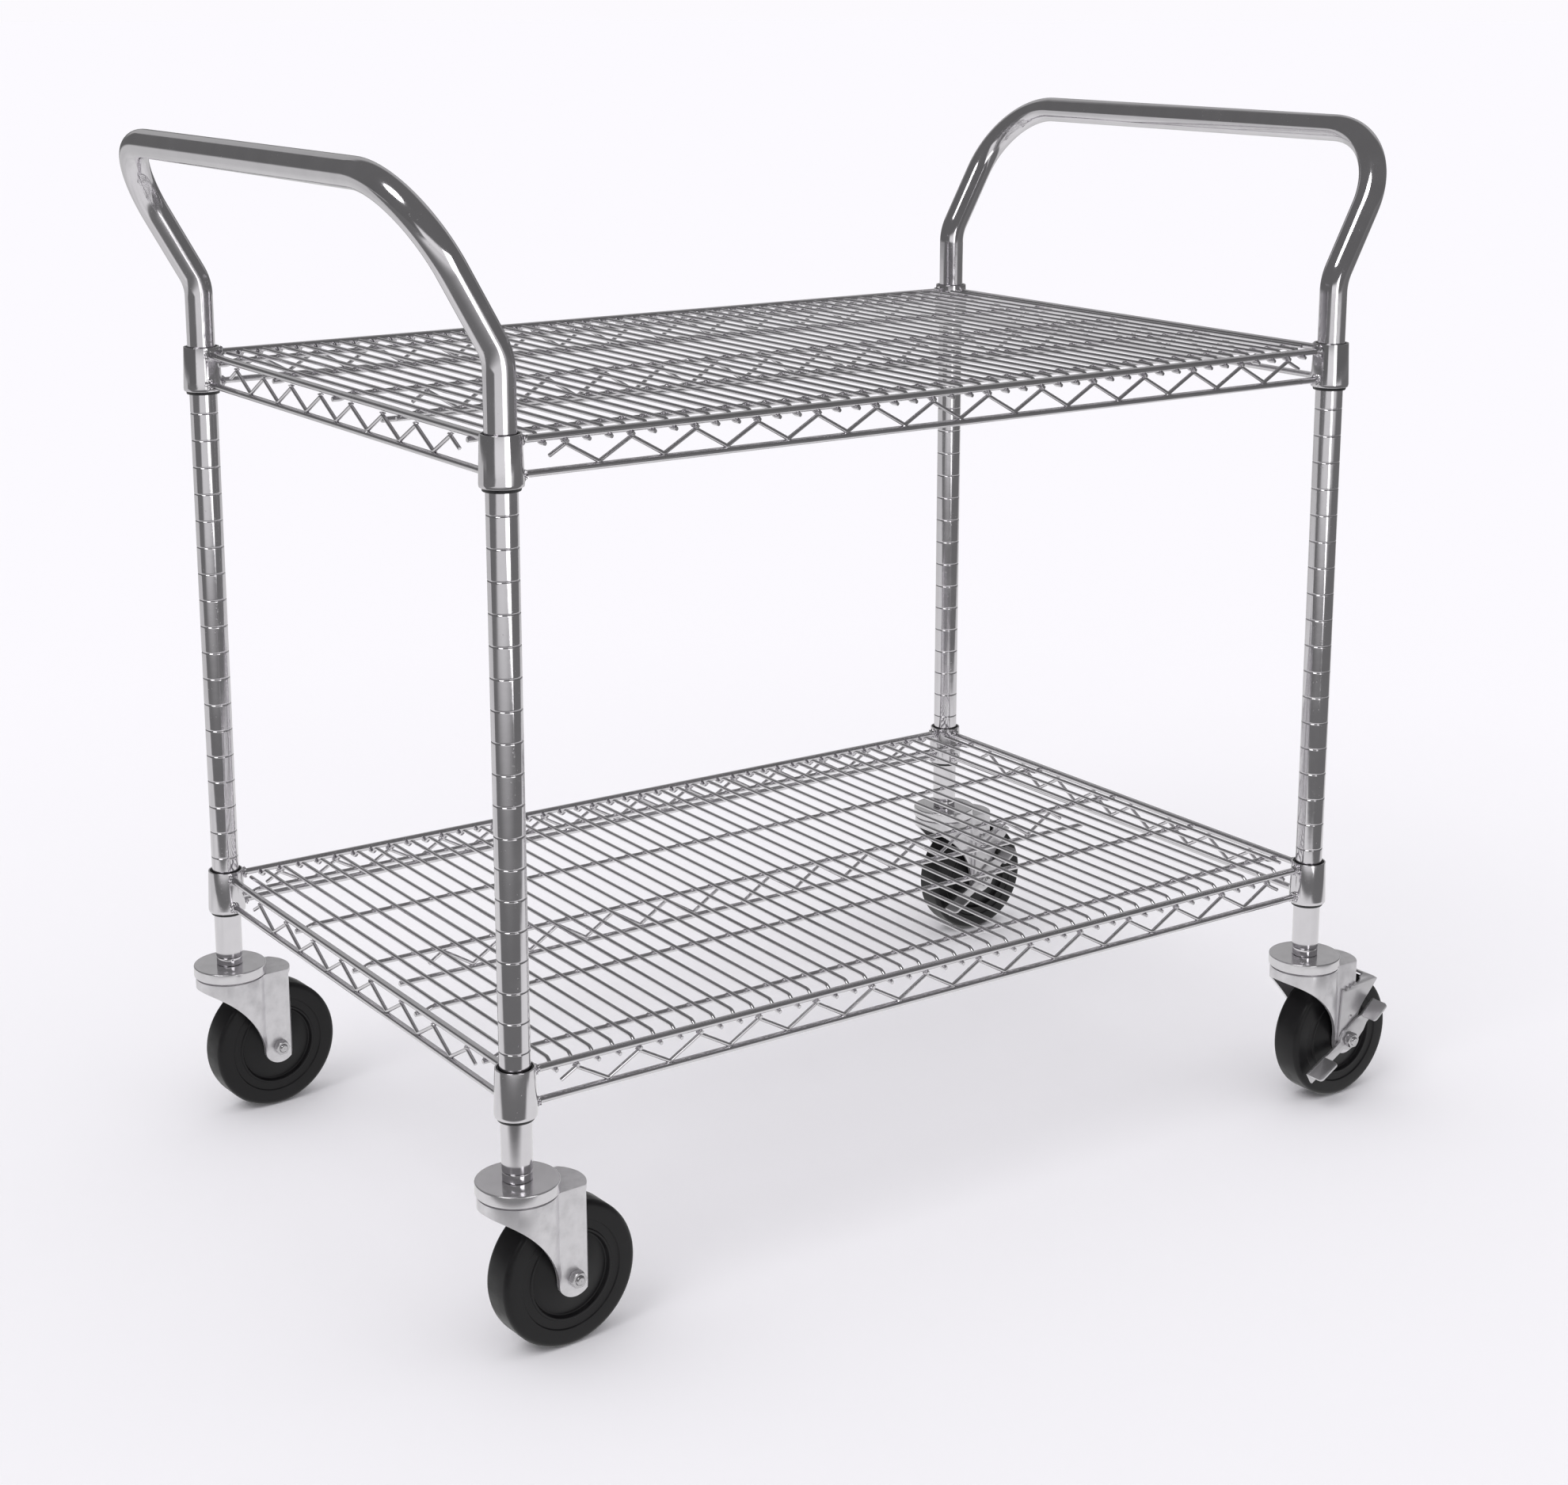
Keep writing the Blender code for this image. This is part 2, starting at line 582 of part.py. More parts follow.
def shoe_mesh():
    """The brake shoe: a web up the outside of the leg, and a toothed pad bent in over the tread."""
    start = math.radians(73.5)
    end = math.radians(54)
    outer = SHOE_RADIUS + 0.002
    teeth = []
    for i in range(4):
        x = -0.0085 + 0.0045 * i
        teeth += [(x, 0.0490 + 0.001 * i), (x + 0.0022, 0.0515 + 0.001 * i)]
    rim = arc(0.0115, math.radians(180), math.radians(360), 8)
    rim += bezier(((0.0125, 0.008), (0.0125, 0.030), (0.0230, 0.034), polar(SHOE_RADIUS, end)), 5)
    rim += arc(outer, end, start, 4)
    rim += [(0.0135, 0.0570)] + list(reversed(teeth))
    drift = (SHOE_TRAVEL * math.cos(SHOE_TRAVEL_ANGLE), SHOE_TRAVEL * math.sin(SHOE_TRAVEL_ANGLE))
    bore = AXLE_RADIUS + AXLE_CLEARANCE
    turn = SHOE_TRAVEL_ANGLE + math.pi / 2
    slot = arc(bore, turn, turn + math.pi, 6) + arc(bore, turn - math.pi, turn, 6, drift)
    web = flat_piece("shoe", [rim, slot], SHOE_INNER, SHOE_OUTER)
    pad_outline = arc(outer, end, start, 4) + arc(SHOE_RADIUS, start, end, 4)
    pad = keep_as_tool(flat_piece("shoe_pad", [pad_outline], -0.015, SHOE_OUTER - 0.0002))
    combine(web, pad, "UNION")
    CUTTERS.objects.link(web)
    return bake(web)


def pedal_mesh():
    """The pedal: a lever on the axle with a foot pad bent out at each end."""
    up = math.radians(39)
    down = math.radians(210)
    up_end = 0.048
    down_end = 0.060
    half = PEDAL_HALF_WIDTH
    root = math.sqrt(PEDAL_BOSS**2 - half**2)
    spread = math.asin(half / PEDAL_BOSS)
    full = 2 * math.pi
    rim = [polar(up_end, up, -half), polar(up_end, up, half), polar(root, up, half)]
    rim += arc(PEDAL_BOSS, up + spread, down - spread, 5)[1:-1]
    rim += [polar(root, down, -half), polar(down_end, down, -half), polar(down_end, down, half)]
    rim += arc(PEDAL_BOSS, down + spread, full + up - spread, 5)
    bore = arc(AXLE_RADIUS + AXLE_CLEARANCE, 0, full, 12)[:-1]
    lever = flat_piece("pedal", [rim, bore], PEDAL_INNER, PEDAL_OUTER)
    sheet = 0.0024
    pads = (
        ("up_pad", up, 0.026, up_end - FIT_GAP, half - sheet, half - FIT_GAP),
        ("down_pad", down, 0.034, down_end - FIT_GAP, -half + FIT_GAP, -half + sheet),
    )
    for name, angle, near, far, low, high in pads:
        pad = box(name, (near, low, PEDAL_INNER + 0.0002), (far, high, PEDAL_REACH))
        pad.data.transform(Matrix.Rotation(angle, 4, "Z"))
        combine(lever, keep_as_tool(pad), "UNION")
    CUTTERS.objects.link(lever)
    return bake(lever)


def ball_ring(name):
    bpy.ops.mesh.primitive_torus_add(
        major_segments=12, minor_segments=5, major_radius=BALL_CIRCLE, minor_radius=BALL_RADIUS
    )
    ring = bpy.context.object
    for holder in list(ring.users_collection):
        holder.objects.unlink(ring)
    ring.name = name
    return ring


def add_empty(name, parent, location, rotation):
    empty = bpy.data.objects.new(name, None)
    place(empty, parent, location)
    empty.rotation_euler = rotation
    return empty


def add_casters():
    fork = fork_mesh()
    nut = nut_mesh()
    shoe = shoe_mesh()
    pedal = pedal_mesh()
    bush = ring_profile(STUD_RADIUS, AXLE_RADIUS + AXLE_CLEARANCE, FIT_GAP - LEG_INNER, LEG_INNER - FIT_GAP)
    for corner, (x, y, turn, braked) in CORNERS.items():
        nut_face = (PEDAL_OUTER if braked else LEG_OUTER) + FIT_GAP
        bolt = bolt_mesh(nut_face + NUT_THICKNESS + 0.0022)
        swivel = add_empty(f"swivel_{corner}", None, (x, y, 0), (0, 0, turn))
        axle = add_empty(f"axle_{corner}", swivel, (CASTER_TRAIL, 0, WHEEL_RADIUS), (math.pi / 2, 0, 0))
        place(turned(f"caster_stem_{corner}", stem_profile(), 12, closed=False), swivel, material=ZINC)
        place(turned(f"caster_plate_{corner}", plate_profile(), 20), swivel, material=ZINC)
        ring = ball_ring(f"ball_ring_{corner}")
        place(ring, swivel, (0, 0, (CUP_TOP + PLATE_UNDERSIDE) / 2 + 0.0001), STEEL)
        place(bpy.data.objects.new(f"fork_{corner}", fork), swivel, material=ZINC)
        place(turned(f"wheel_{corner}", wheel_profile(), WHEEL_FACETS), axle, material=BLACK_RUBBER)
        place(turned(f"axle_bush_{corner}", bush, 12), axle, material=STEEL)
        place(bpy.data.objects.new(f"axle_bolt_{corner}", bolt), axle, material=ZINC)
        place(bpy.data.objects.new(f"axle_nut_{corner}", nut), axle, (0, 0, nut_face), ZINC)
        if braked:
            place(bpy.data.objects.new(f"brake_shoe_{corner}", shoe), axle, material=ZINC)
            place(bpy.data.objects.new(f"brake_pedal_{corner}", pedal), axle, material=ZINC)


add_shelves()
add_sleeves()
add_posts()
add_handles()
add_casters()
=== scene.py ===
"""Looks of the wire shelf cart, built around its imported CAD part.

Metres, +Z up, in the part's own frame: the floor is at Z = 0 and the long side runs along X. Each caster
is built in its own frame, where +X is the way it trails and -Y is the side of its axle nut, and each axle
has a frame too, where +Z points at the nut and +Y is up.
"""

import math

import bmesh
import bpy
from mathutils import Matrix, Vector, noise


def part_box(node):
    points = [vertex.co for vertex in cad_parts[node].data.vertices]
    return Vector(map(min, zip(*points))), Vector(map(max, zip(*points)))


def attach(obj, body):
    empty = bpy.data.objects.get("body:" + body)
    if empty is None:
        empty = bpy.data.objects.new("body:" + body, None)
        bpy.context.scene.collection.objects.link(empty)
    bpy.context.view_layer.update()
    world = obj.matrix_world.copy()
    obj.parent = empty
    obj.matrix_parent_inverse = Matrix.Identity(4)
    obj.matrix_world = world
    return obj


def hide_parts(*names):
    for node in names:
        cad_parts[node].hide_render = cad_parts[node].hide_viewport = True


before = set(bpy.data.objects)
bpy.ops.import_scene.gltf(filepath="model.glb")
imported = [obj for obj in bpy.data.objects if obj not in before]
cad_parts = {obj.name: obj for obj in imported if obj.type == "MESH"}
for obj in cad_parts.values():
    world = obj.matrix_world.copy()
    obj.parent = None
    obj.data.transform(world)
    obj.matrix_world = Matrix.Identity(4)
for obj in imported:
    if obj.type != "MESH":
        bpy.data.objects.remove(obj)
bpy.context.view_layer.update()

# Tubes and posts
TUBE_RADIUS = 0.0127
TUBE_WALL = 0.0014
GROOVE_PITCH = 0.0254
GROOVE_COUNT = 18
FIRST_GROOVE = 0.262
GROOVE_HALF = 0.0006
GROOVE_DEPTH = 0.0005
# Down one half of a groove: height over GROOVE_HALF, then its share of GROOVE_DEPTH
GROOVE_SLOPE = ((2.4, 0), (1.5, 0), (1.0, 0.12), (0.6, 0.6), (0.2, 1))
GROOVE_SECTION = GROOVE_SLOPE + tuple((-step, sunk) for step, sunk in reversed(GROOVE_SLOPE))

# Shelf, measured down from its collars' tops
COLLAR_HEIGHT = 0.041
COLLAR_TOP_RADIUS = 0.0163
COLLAR_BOTTOM_RADIUS = 0.0178
COLLAR_WALL = 0.0014
SLEEVE_BORE = 0.0133
SLEEVE_LIP = 0.003
TOP_RAIL_DEPTH = 0.0067
BOTTOM_RAIL_DEPTH = 0.0337
TOP_RAIL_RADIUS = 0.0032
BOTTOM_RAIL_RADIUS = 0.0030
DECK_WIRE_RADIUS = 0.00175
DECK_WIRE_PITCH = 0.01967
DECK_WIRE_COUNT = 44
SHORT_WIRE_REACH = 0.266
RIB_RADIUS = 0.0023
RIB_PITCH = 0.120
RIB_COUNT = 5
ZIGZAG_RADIUS = 0.0017
ZIGZAG_PITCH = 3 * DECK_WIRE_PITCH
LONG_PEAKS = 14
SHORT_PEAKS = 8
TRUSS_PEAKS = 13
WIRE_STUB = 0.0036

# Handle
HANDLE_BEND_HEIGHT = 0.802
HANDLE_BEND_RADIUS = 0.045
HANDLE_LEAN = math.radians(29.3)
HANDLE_SLANT = 0.142
HANDLE_CORNER_RADIUS = 0.079

# Caster
WHEEL_RADIUS = 0.0625
WHEEL_HALF = 0.016
CASTER_TRAIL = 0.0395
LEG_INNER = 0.0185
SHEET = 0.003
LEG_OUTER = LEG_INNER + SHEET
SKIRT_RADIUS = 0.033
CROWN_UNDERSIDE = 0.1365
CROWN_TOP = 0.1400
CUP_TOP = 0.1417
CUP_RADIUS = SKIRT_RADIUS - 0.0034
PLATE_RADIUS = 0.0345
PLATE_UNDERSIDE = 0.1421
PLATE_TOP = 0.1522
STUD_RADIUS = 0.0060
AXLE_RADIUS = 0.0040
NUT_RADIUS = 0.0075
NUT_THICKNESS = 0.0065
BALL_GROOVE_OUTER = 0.0275
BALL_GROOVE_INNER = 0.0205
GAP = 0.0003

# Brake
SHOE_INNER = LEG_OUTER + GAP
SHOE_OUTER = SHOE_INNER + 0.002
SHOE_RADIUS = 0.065
PEDAL_INNER = SHOE_OUTER + GAP
PEDAL_OUTER = PEDAL_INNER + 0.0025
PEDAL_REACH = 0.0440
PEDAL_HALF_WIDTH = 0.006
PEDAL_BOSS = 0.0115

# How far each side's casters are turned in the photo
YAW = {"left": math.radians(3), "right": 0.0}
CORNERS = ("front_left", "back_left", "front_right", "back_right")


def middle(node):
    low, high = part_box(node)
    return (low + high) / 2


POSTS = {corner: middle(f"post_{corner}") for corner in CORNERS}
HALF_X = (POSTS["front_right"].x - POSTS["front_left"].x) / 2
HALF_Y = (POSTS["back_left"].y - POSTS["front_left"].y) / 2
CENTRE_X = (POSTS["front_right"].x + POSTS["front_left"].x) / 2
CENTRE_Y = (POSTS["back_left"].y + POSTS["front_left"].y) / 2
POST_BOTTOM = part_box("post_front_left")[0].z
TUBE_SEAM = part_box("post_front_left")[1].z
COLLAR_TOPS = {level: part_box(f"{level}_shelf")[1].z for level in ("upper", "lower")}


# ---------------------------------------------------------------- mesh work


class Shape:
    """Points and faces that are collected into one mesh."""

    def __init__(self):
        self.points = []
        self.faces = []

    def add(self, points, faces):
        start = len(self.points)
        self.points += [tuple(point) for point in points]
        self.faces += [tuple(i + start for i in face) for face in faces]

    def mesh(self, name, sharp=40):
        made = bpy.data.meshes.new(name)
        made.from_pydata(self.points, [], self.faces)
        tidy(made)
        return shade(made, sharp)


def tidy(mesh):
    """Turns every face outwards."""
    work = bmesh.new()
    work.from_mesh(mesh)
    bmesh.ops.recalc_face_normals(work, faces=work.faces)
    work.to_mesh(mesh)
    work.free()


def shade(mesh, sharp=40):
    """Smooth, but for edges sharper than this many degrees."""
    mesh.shade_smooth()
    mesh.set_sharp_from_angle(angle=math.radians(sharp))
    return mesh


def arc(radius, start, end, steps, centre=(0, 0)):
    """Points round a centre, with angles in radians and both ends included."""
    angles = [start + (end - start) * i / steps for i in range(steps + 1)]
    return [(centre[0] + radius * math.cos(a), centre[1] + radius * math.sin(a)) for a in angles]


def bezier(points, steps):
    """Points along a cubic curve through its first and last control points, both included."""
    made = []
    for i in range(steps + 1):
        t = i / steps
        weights = ((1 - t) ** 3, 3 * t * (1 - t) ** 2, 3 * t * t * (1 - t), t**3)
        made.append(tuple(sum(w * p[k] for w, p in zip(weights, points)) for k in (0, 1)))
    return made


def filleted(points, radius, steps):
    """The same line with each of its inner corners rounded."""
    points = [Vector(point) for point in points]
    made = [points[0]]
    for before, corner, after in zip(points, points[1:], points[2:]):
        back = (before - corner).normalized()
        ahead = (after - corner).normalized()
        half = back.angle(ahead) / 2
        cut = radius / math.tan(half)
        centre = corner + (back + ahead).normalized() * radius / math.sin(half)
        start = corner + back * cut - centre
        end = corner + ahead * cut - centre
        made += [centre + start.slerp(end, i / steps) * radius for i in range(steps + 1)]
    return made + [points[-1]]


def tube(shape, points, radius, sides, round_end=0.25):
    """A wire or a tube along points, with its ends closed and their edges eased."""
    points = [Vector(point) for point in points]
    tangents = [(b - a).normalized() for a, b in zip(points, points[1:])]
    ease = round_end * radius
    stations = [(points[0], radius - ease), (points[0] + tangents[0] * ease, radius)]
    stations += [(point, radius) for point in points[1:-1]]
    stations += [(points[-1] - tangents[-1] * ease, radius), (points[-1], radius - ease)]
    middles = [(a + b).normalized() for a, b in zip(tangents, tangents[1:])]
    directions = [tangents[0]] * 2 + middles + [tangents[-1]] * 2
    across = directions[0].orthogonal().normalized()
    made = []
    for (centre, size), along in zip(stations, directions):
        across = (across - along * across.dot(along)).normalized()
        other = along.cross(across)
        for k in range(sides):
            angle = 2 * math.pi * k / sides
            made.append(centre + (across * math.cos(angle) + other * math.sin(angle)) * size)
    faces = []
    for ring in range(len(stations) - 1):
        for k in range(sides):
            a = ring * sides + k
            b = ring * sides + (k + 1) % sides
            faces.append((a, b, b + sides, a + sides))
    last = (len(stations) - 1) * sides
    faces.append(tuple(reversed(range(sides))))
    faces.append(tuple(range(last, last + sides)))
    shape.add(made, faces)


def lathe(shape, profile, steps, gap=0.0, offset=(0, 0, 0)):
    """A closed section of (radius, height) points turned about Z, all the way or short of it by gap."""
    turn = 2 * math.pi - gap
    full = gap == 0.0
    columns = steps if full else steps + 1
    count = len(profile)
    made = []
    for i in range(columns):
        angle = gap / 2 + turn * i / steps
        for radius, height in profile:
            made.append((radius * math.cos(angle), radius * math.sin(angle), height))
    faces = []
    for i in range(steps):
        j = (i + 1) % columns
        for k in range(count):
            n = (k + 1) % count
            faces.append((i * count + k, j * count + k, j * count + n, i * count + n))
    if not full:
        faces.append(tuple(range(count)))
        faces.append(tuple(reversed(range(steps * count, (steps + 1) * count))))
    shape.add([Vector(point) + Vector(offset) for point in made], faces)


def rounded_profile(corners, radius, steps=4):
    """A closed (radius, height) section with its corners rounded, and none on the turning axis."""
    count = len(corners)
    made = []
    for i, corner in enumerate(corners):
        size = corner[2] if len(corner) > 2 else radius
        here = Vector(corner[:2])
        back = Vector(corners[i - 1][:2]) - here
        ahead = Vector(corners[(i + 1) % count][:2]) - here
        half = back.angle(ahead) / 2
        cut = min(size / math.tan(half), back.length * 0.49, ahead.length * 0.49)
        if size == 0 or cut < 1e-6:
            made.append(tuple(here))
            continue
        size = cut * math.tan(half)
        centre = here + (back.normalized() + ahead.normalized()).normalized() * size / math.sin(half)
        start = here + back.normalized() * cut - centre
        end = here + ahead.normalized() * cut - centre
        made += [tuple(centre + start.slerp(end, k / steps) * size) for k in range(steps + 1)]
    return made


def ball_points(level):
    work = bmesh.new()
    bmesh.ops.create_icosphere(work, subdivisions=level, radius=1)
    points = [vertex.co.copy() for vertex in work.verts]
    faces = [tuple(vertex.index for vertex in face.verts) for face in work.faces]
    work.free()
    return points, faces


BALLS = {level: ball_points(level) for level in (2, 3, 4)}


def bead(shape, centre, radii, level=2, lump=0.0, seed=0.0):
    """A weld bead: a ball squashed to its radii, and lumpy if lump is over 0."""
    points, faces = BALLS[level]
    drift = Vector((seed * 3.17, seed * 1.73, seed * 0.91))
    made = []
    for point in points:
        swell = 1 + lump * noise.noise(point * 1.9 + drift) + lump * 0.6 * noise.noise(point * 4.3 + drift)
        made.append(Vector(centre) + Vector([p * r * swell for p, r in zip(point, radii)]))
    shape.add(made, faces)


def baked(made):
    """The object's mesh as its modifiers leave it. The object is removed."""
    bpy.context.view_layer.update()
    graph = bpy.context.evaluated_depsgraph_get()
    mesh = bpy.data.meshes.new_from_object(made.evaluated_get(graph))
    bpy.data.objects.remove(made)
    return mesh


def loose(name, mesh):
    made = bpy.data.objects.new(name, mesh)
    bpy.context.scene.collection.objects.link(made)
    return made


def slab(name, loops, bottom, top):
    """A flat outline with any holes after its rim, from bottom to top along Z, as an object."""
    curve = bpy.data.curves.new(name, "CURVE")
    curve.dimensions = "2D"
    curve.fill_mode = "BOTH"
    curve.extrude = (top - bottom) / 2
    for loop in loops:
        spline = curve.splines.new("POLY")
        spline.points.add(len(loop) - 1)
        for point, (x, y) in zip(spline.points, loop):
            point.co = (x, y, 0, 1)
        spline.use_cyclic_u = True
    mesh = baked(loose(name, curve))
    work = bmesh.new()
    work.from_mesh(mesh)
    bmesh.ops.remove_doubles(work, verts=work.verts, dist=0.00001)
    bmesh.ops.recalc_face_normals(work, faces=work.faces)
    work.to_mesh(mesh)
    work.free()
    mesh.transform(Matrix.Translation((0, 0, (bottom + top) / 2)))
    return loose(name, mesh)


def join(base, tools, operation):
    """Boolean joins or cuts, one after another. The tools are used up."""
    for tool in tools:
        modifier = base.modifiers.new(operation, "BOOLEAN")
        modifier.operation = operation
        modifier.object = tool
        name = base.name
        mesh = baked(base)
        base = loose(name, mesh)
        bpy.data.objects.remove(tool)
    return base


def eased(made, width, steps=2, angle=40):
    """The object's mesh with its sharp edges bevelled."""
    bevel = made.modifiers.new("ease", "BEVEL")
    bevel.width = width
    bevel.segments = steps
    bevel.limit_method = "ANGLE"
    bevel.angle_limit = math.radians(angle)
    bevel.miter_outer = "MITER_ARC"
    return baked(made)


def bevel_edges(made, width, steps, chosen):
    """Rounds the edges for which chosen(a, b) holds, given the edge's two points."""
    work = bmesh.new()
    work.from_mesh(made.data)
    edges = [edge for edge in work.edges if chosen(*(vertex.co for vertex in edge.verts))]
    bmesh.ops.bevel(
        work, geom=edges, offset=width, segments=steps, affect="EDGES", profile=0.5, clamp_overlap=True
    )
    work.to_mesh(made.data)
    work.free()
    return made


def turned_tool(name, profile, steps=48):
    shape = Shape()
    lathe(shape, profile, steps)
    return loose(name, shape.mesh(name))


def hexagon(radius):
    return arc(radius, 0, 2 * math.pi, 6)[:-1]


# ---------------------------------------------------------------- materials


def new_material(name):
    made = bpy.data.materials.new(name)
    made.use_nodes = True
    return made, made.node_tree, made.node_tree.nodes["Principled BSDF"]


def add_noise(tree, scale, detail=2.0, stretch=(1, 1, 1), rough=0.5):
    """A noise's value over the piece's own coordinates."""
    nodes, links = tree.nodes, tree.links
    place = nodes.new("ShaderNodeTexCoord")
    mapping = nodes.new("ShaderNodeMapping")
    mapping.inputs["Scale"].default_value = stretch
    texture = nodes.new("ShaderNodeTexNoise")
    texture.inputs["Scale"].default_value = scale
    texture.inputs["Detail"].default_value = detail
    texture.inputs["Roughness"].default_value = rough
    links.new(place.outputs["Object"], mapping.inputs["Vector"])
    links.new(mapping.outputs["Vector"], texture.inputs["Vector"])
    return texture.outputs["Fac"]


def remap(tree, value, low, high, to_low, to_high):
    node = tree.nodes.new("ShaderNodeMapRange")
    node.interpolation_type = "SMOOTHSTEP"
    for socket, number in zip(node.inputs[1:5], (low, high, to_low, to_high)):
        socket.default_value = number
    tree.links.new(value, node.inputs["Value"])
    return node.outputs["Result"]


def ramp(tree, value, stops):
    node = tree.nodes.new("ShaderNodeValToRGB")
    elements = node.color_ramp.elements
    while len(elements) < len(stops):
        elements.new(0.5)
    for element, (position, colour) in zip(elements, stops):
        element.position = position
        element.color = (*colour, 1)
    tree.links.new(value, node.inputs["Fac"])
    return node.outputs["Color"]


def maths(tree, operation, first, second=0.0):
    node = tree.nodes.new("ShaderNodeMath")
    node.operation = operation
    for socket, value in zip(node.inputs, (first, second)):
        if isinstance(value, (int, float)):
            socket.default_value = value
        else:
            tree.links.new(value, socket)
    return node.outputs["Value"]


def add_bump(tree, shader, height, strength, distance):
    bump = tree.nodes.new("ShaderNodeBump")
    bump.inputs["Strength"].default_value = strength
    bump.inputs["Distance"].default_value = distance
    tree.links.new(height, bump.inputs["Height"])
    tree.links.new(bump.outputs["Normal"], shader.inputs["Normal"])


def chrome_material(name, colours, roughness, waviness):
    """Bright chrome: faint haze and water marks, fine pits, and the slow waviness of drawn steel."""
    made, tree, shader = new_material(name)
    shader.inputs["Metallic"].default_value = 1.0
    haze = add_noise(tree, 38, 4)
    tree.links.new(ramp(tree, haze, [(0.3, colours[0]), (0.7, colours[1])]), shader.inputs["Base Color"])
    pits = remap(tree, add_noise(tree, 520, 1), 0.70, 0.78, 0.0, 0.18)
    film = remap(tree, haze, 0.45, 0.75, roughness[0], roughness[1])
    tree.links.new(maths(tree, "ADD", film, pits), shader.inputs["Roughness"])
    wave = add_noise(tree, 55, 2)
    grain = maths(tree, "MULTIPLY", add_noise(tree, 900, 2), 0.04)
    add_bump(tree, shader, maths(tree, "ADD", wave, grain), waviness, 0.001)
    return made


def zinc_material(name, tone, roughness, metallic, wear=1.0):
    """Bright zinc plate on pressed steel: cloudy and finely grained, the more so the more wear it has."""
    made, tree, shader = new_material(name)
    shader.inputs["Metallic"].default_value = metallic
    cloud = add_noise(tree, 90, 5, rough=0.62)
    stops = [(0.25, 1 - 0.14 * wear), (0.50, 1 - 0.03 * wear), (0.75, 1 + 0.04 * wear)]
    shades = [(position, (tone * k, tone * k * 0.98, tone * k * 1.01)) for position, k in stops]
    tree.links.new(ramp(tree, cloud, shades), shader.inputs["Base Color"])
    tree.links.new(remap(tree, cloud, 0.3, 0.7, roughness[0], roughness[1]), shader.inputs["Roughness"])
    grain = add_noise(tree, 700, 3)
    dents = add_noise(tree, 130, 2)
    height = maths(tree, "ADD", maths(tree, "MULTIPLY", grain, 0.12), dents)
    add_bump(tree, shader, height, 0.06 * wear, 0.0006)
    return made


def steel_material():
    made, tree, shader = new_material("plain_steel")
    shader.inputs["Metallic"].default_value = 1.0
    cloud = add_noise(tree, 150, 4)
    stops = [(0.3, (0.36, 0.36, 0.37)), (0.7, (0.55, 0.55, 0.56))]
    tree.links.new(ramp(tree, cloud, stops), shader.inputs["Base Color"])
    tree.links.new(remap(tree, cloud, 0.3, 0.7, 0.34, 0.5), shader.inputs["Roughness"])
    add_bump(tree, shader, add_noise(tree, 600, 2, (1, 1, 12)), 0.1, 0.0004)
    return made


def rubber_material():
    """Hard moulded rubber: near black, slightly dusty, with a fine moulded grain."""
    made, tree, shader = new_material("black_rubber")
    dust = add_noise(tree, 60, 6, rough=0.6)
    black = (0.0045, 0.0042, 0.0050)
    stops = [(0.30, black), (0.55, (0.0065, 0.0060, 0.0070)), (0.80, (0.0120, 0.0115, 0.0130))]
    tree.links.new(ramp(tree, dust, stops), shader.inputs["Base Color"])
    tree.links.new(remap(tree, dust, 0.35, 0.75, 0.34, 0.5), shader.inputs["Roughness"])
    shader.inputs["Specular IOR Level"].default_value = 0.30
    grain = add_noise(tree, 1100, 3)
    add_bump(tree, shader, grain, 0.12, 0.0003)
    return made


def plastic_material():
    made, tree, shader = new_material("black_plastic")
    cloud = add_noise(tree, 200, 3)
    stops = [(0.3, (0.010, 0.010, 0.011)), (0.7, (0.020, 0.020, 0.021))]
    tree.links.new(ramp(tree, cloud, stops), shader.inputs["Base Color"])
    tree.links.new(remap(tree, cloud, 0.3, 0.7, 0.35, 0.5), shader.inputs["Roughness"])
    add_bump(tree, shader, add_noise(tree, 900, 2), 0.15, 0.0003)
    return made


TUBE_COLOURS = ((0.745, 0.725, 0.755), (0.795, 0.775, 0.805))
WIRE_COLOURS = ((0.700, 0.682, 0.710), (0.770, 0.752, 0.780))
TUBE_CHROME = chrome_material("tube_chrome", TUBE_COLOURS, (0.09, 0.14), 0.05)
WIRE_CHROME = chrome_material("wire_chrome", WIRE_COLOURS, (0.09, 0.16), 0.10)
MIRROR_CHROME = chrome_material("mirror_chrome", TUBE_COLOURS, (0.02, 0.05), 0.03)
ZINC = zinc_material("zinc_plate", 0.76, (0.40, 0.28), 0.80)
DISC_ZINC = zinc_material("zinc_disc", 0.76, (0.22, 0.12), 0.90, 0.4)
BOLT_ZINC = zinc_material("zinc_bolt", 0.60, (0.26, 0.18), 0.95)
BRAKE_ZINC = zinc_material("zinc_brake", 0.62, (0.36, 0.30), 0.88, 0.35)
STEEL = steel_material()
RUBBER = rubber_material()
PLASTIC = plastic_material()


def add_piece(name, mesh, material, body, nodes, place=None):
    """One shown piece, with the body that it moves with and the CAD nodes that it stands for."""
    made = loose(name, mesh)
    made.matrix_world = place or Matrix.Identity(4)
    mesh.materials.clear()
    mesh.materials.append(material)
    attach(made, body)
    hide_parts(*nodes)
    return made


# ---------------------------------------------------------------- shelves


def zigzag(peaks, top, bottom, hook):
    """(distance, height) points of a zigzag wire centred on 0, with a short hook at each end."""
    half = ZIGZAG_PITCH / 2
    steps = 2 * peaks - 1
    start = -(peaks - 1) * half
    points = [(start + i * half, top if i % 2 == 0 else bottom) for i in range(steps)]
    hook_height = top - (top - bottom) * hook / half
    return [(start - hook, hook_height)] + points + [(-start + hook, hook_height)]


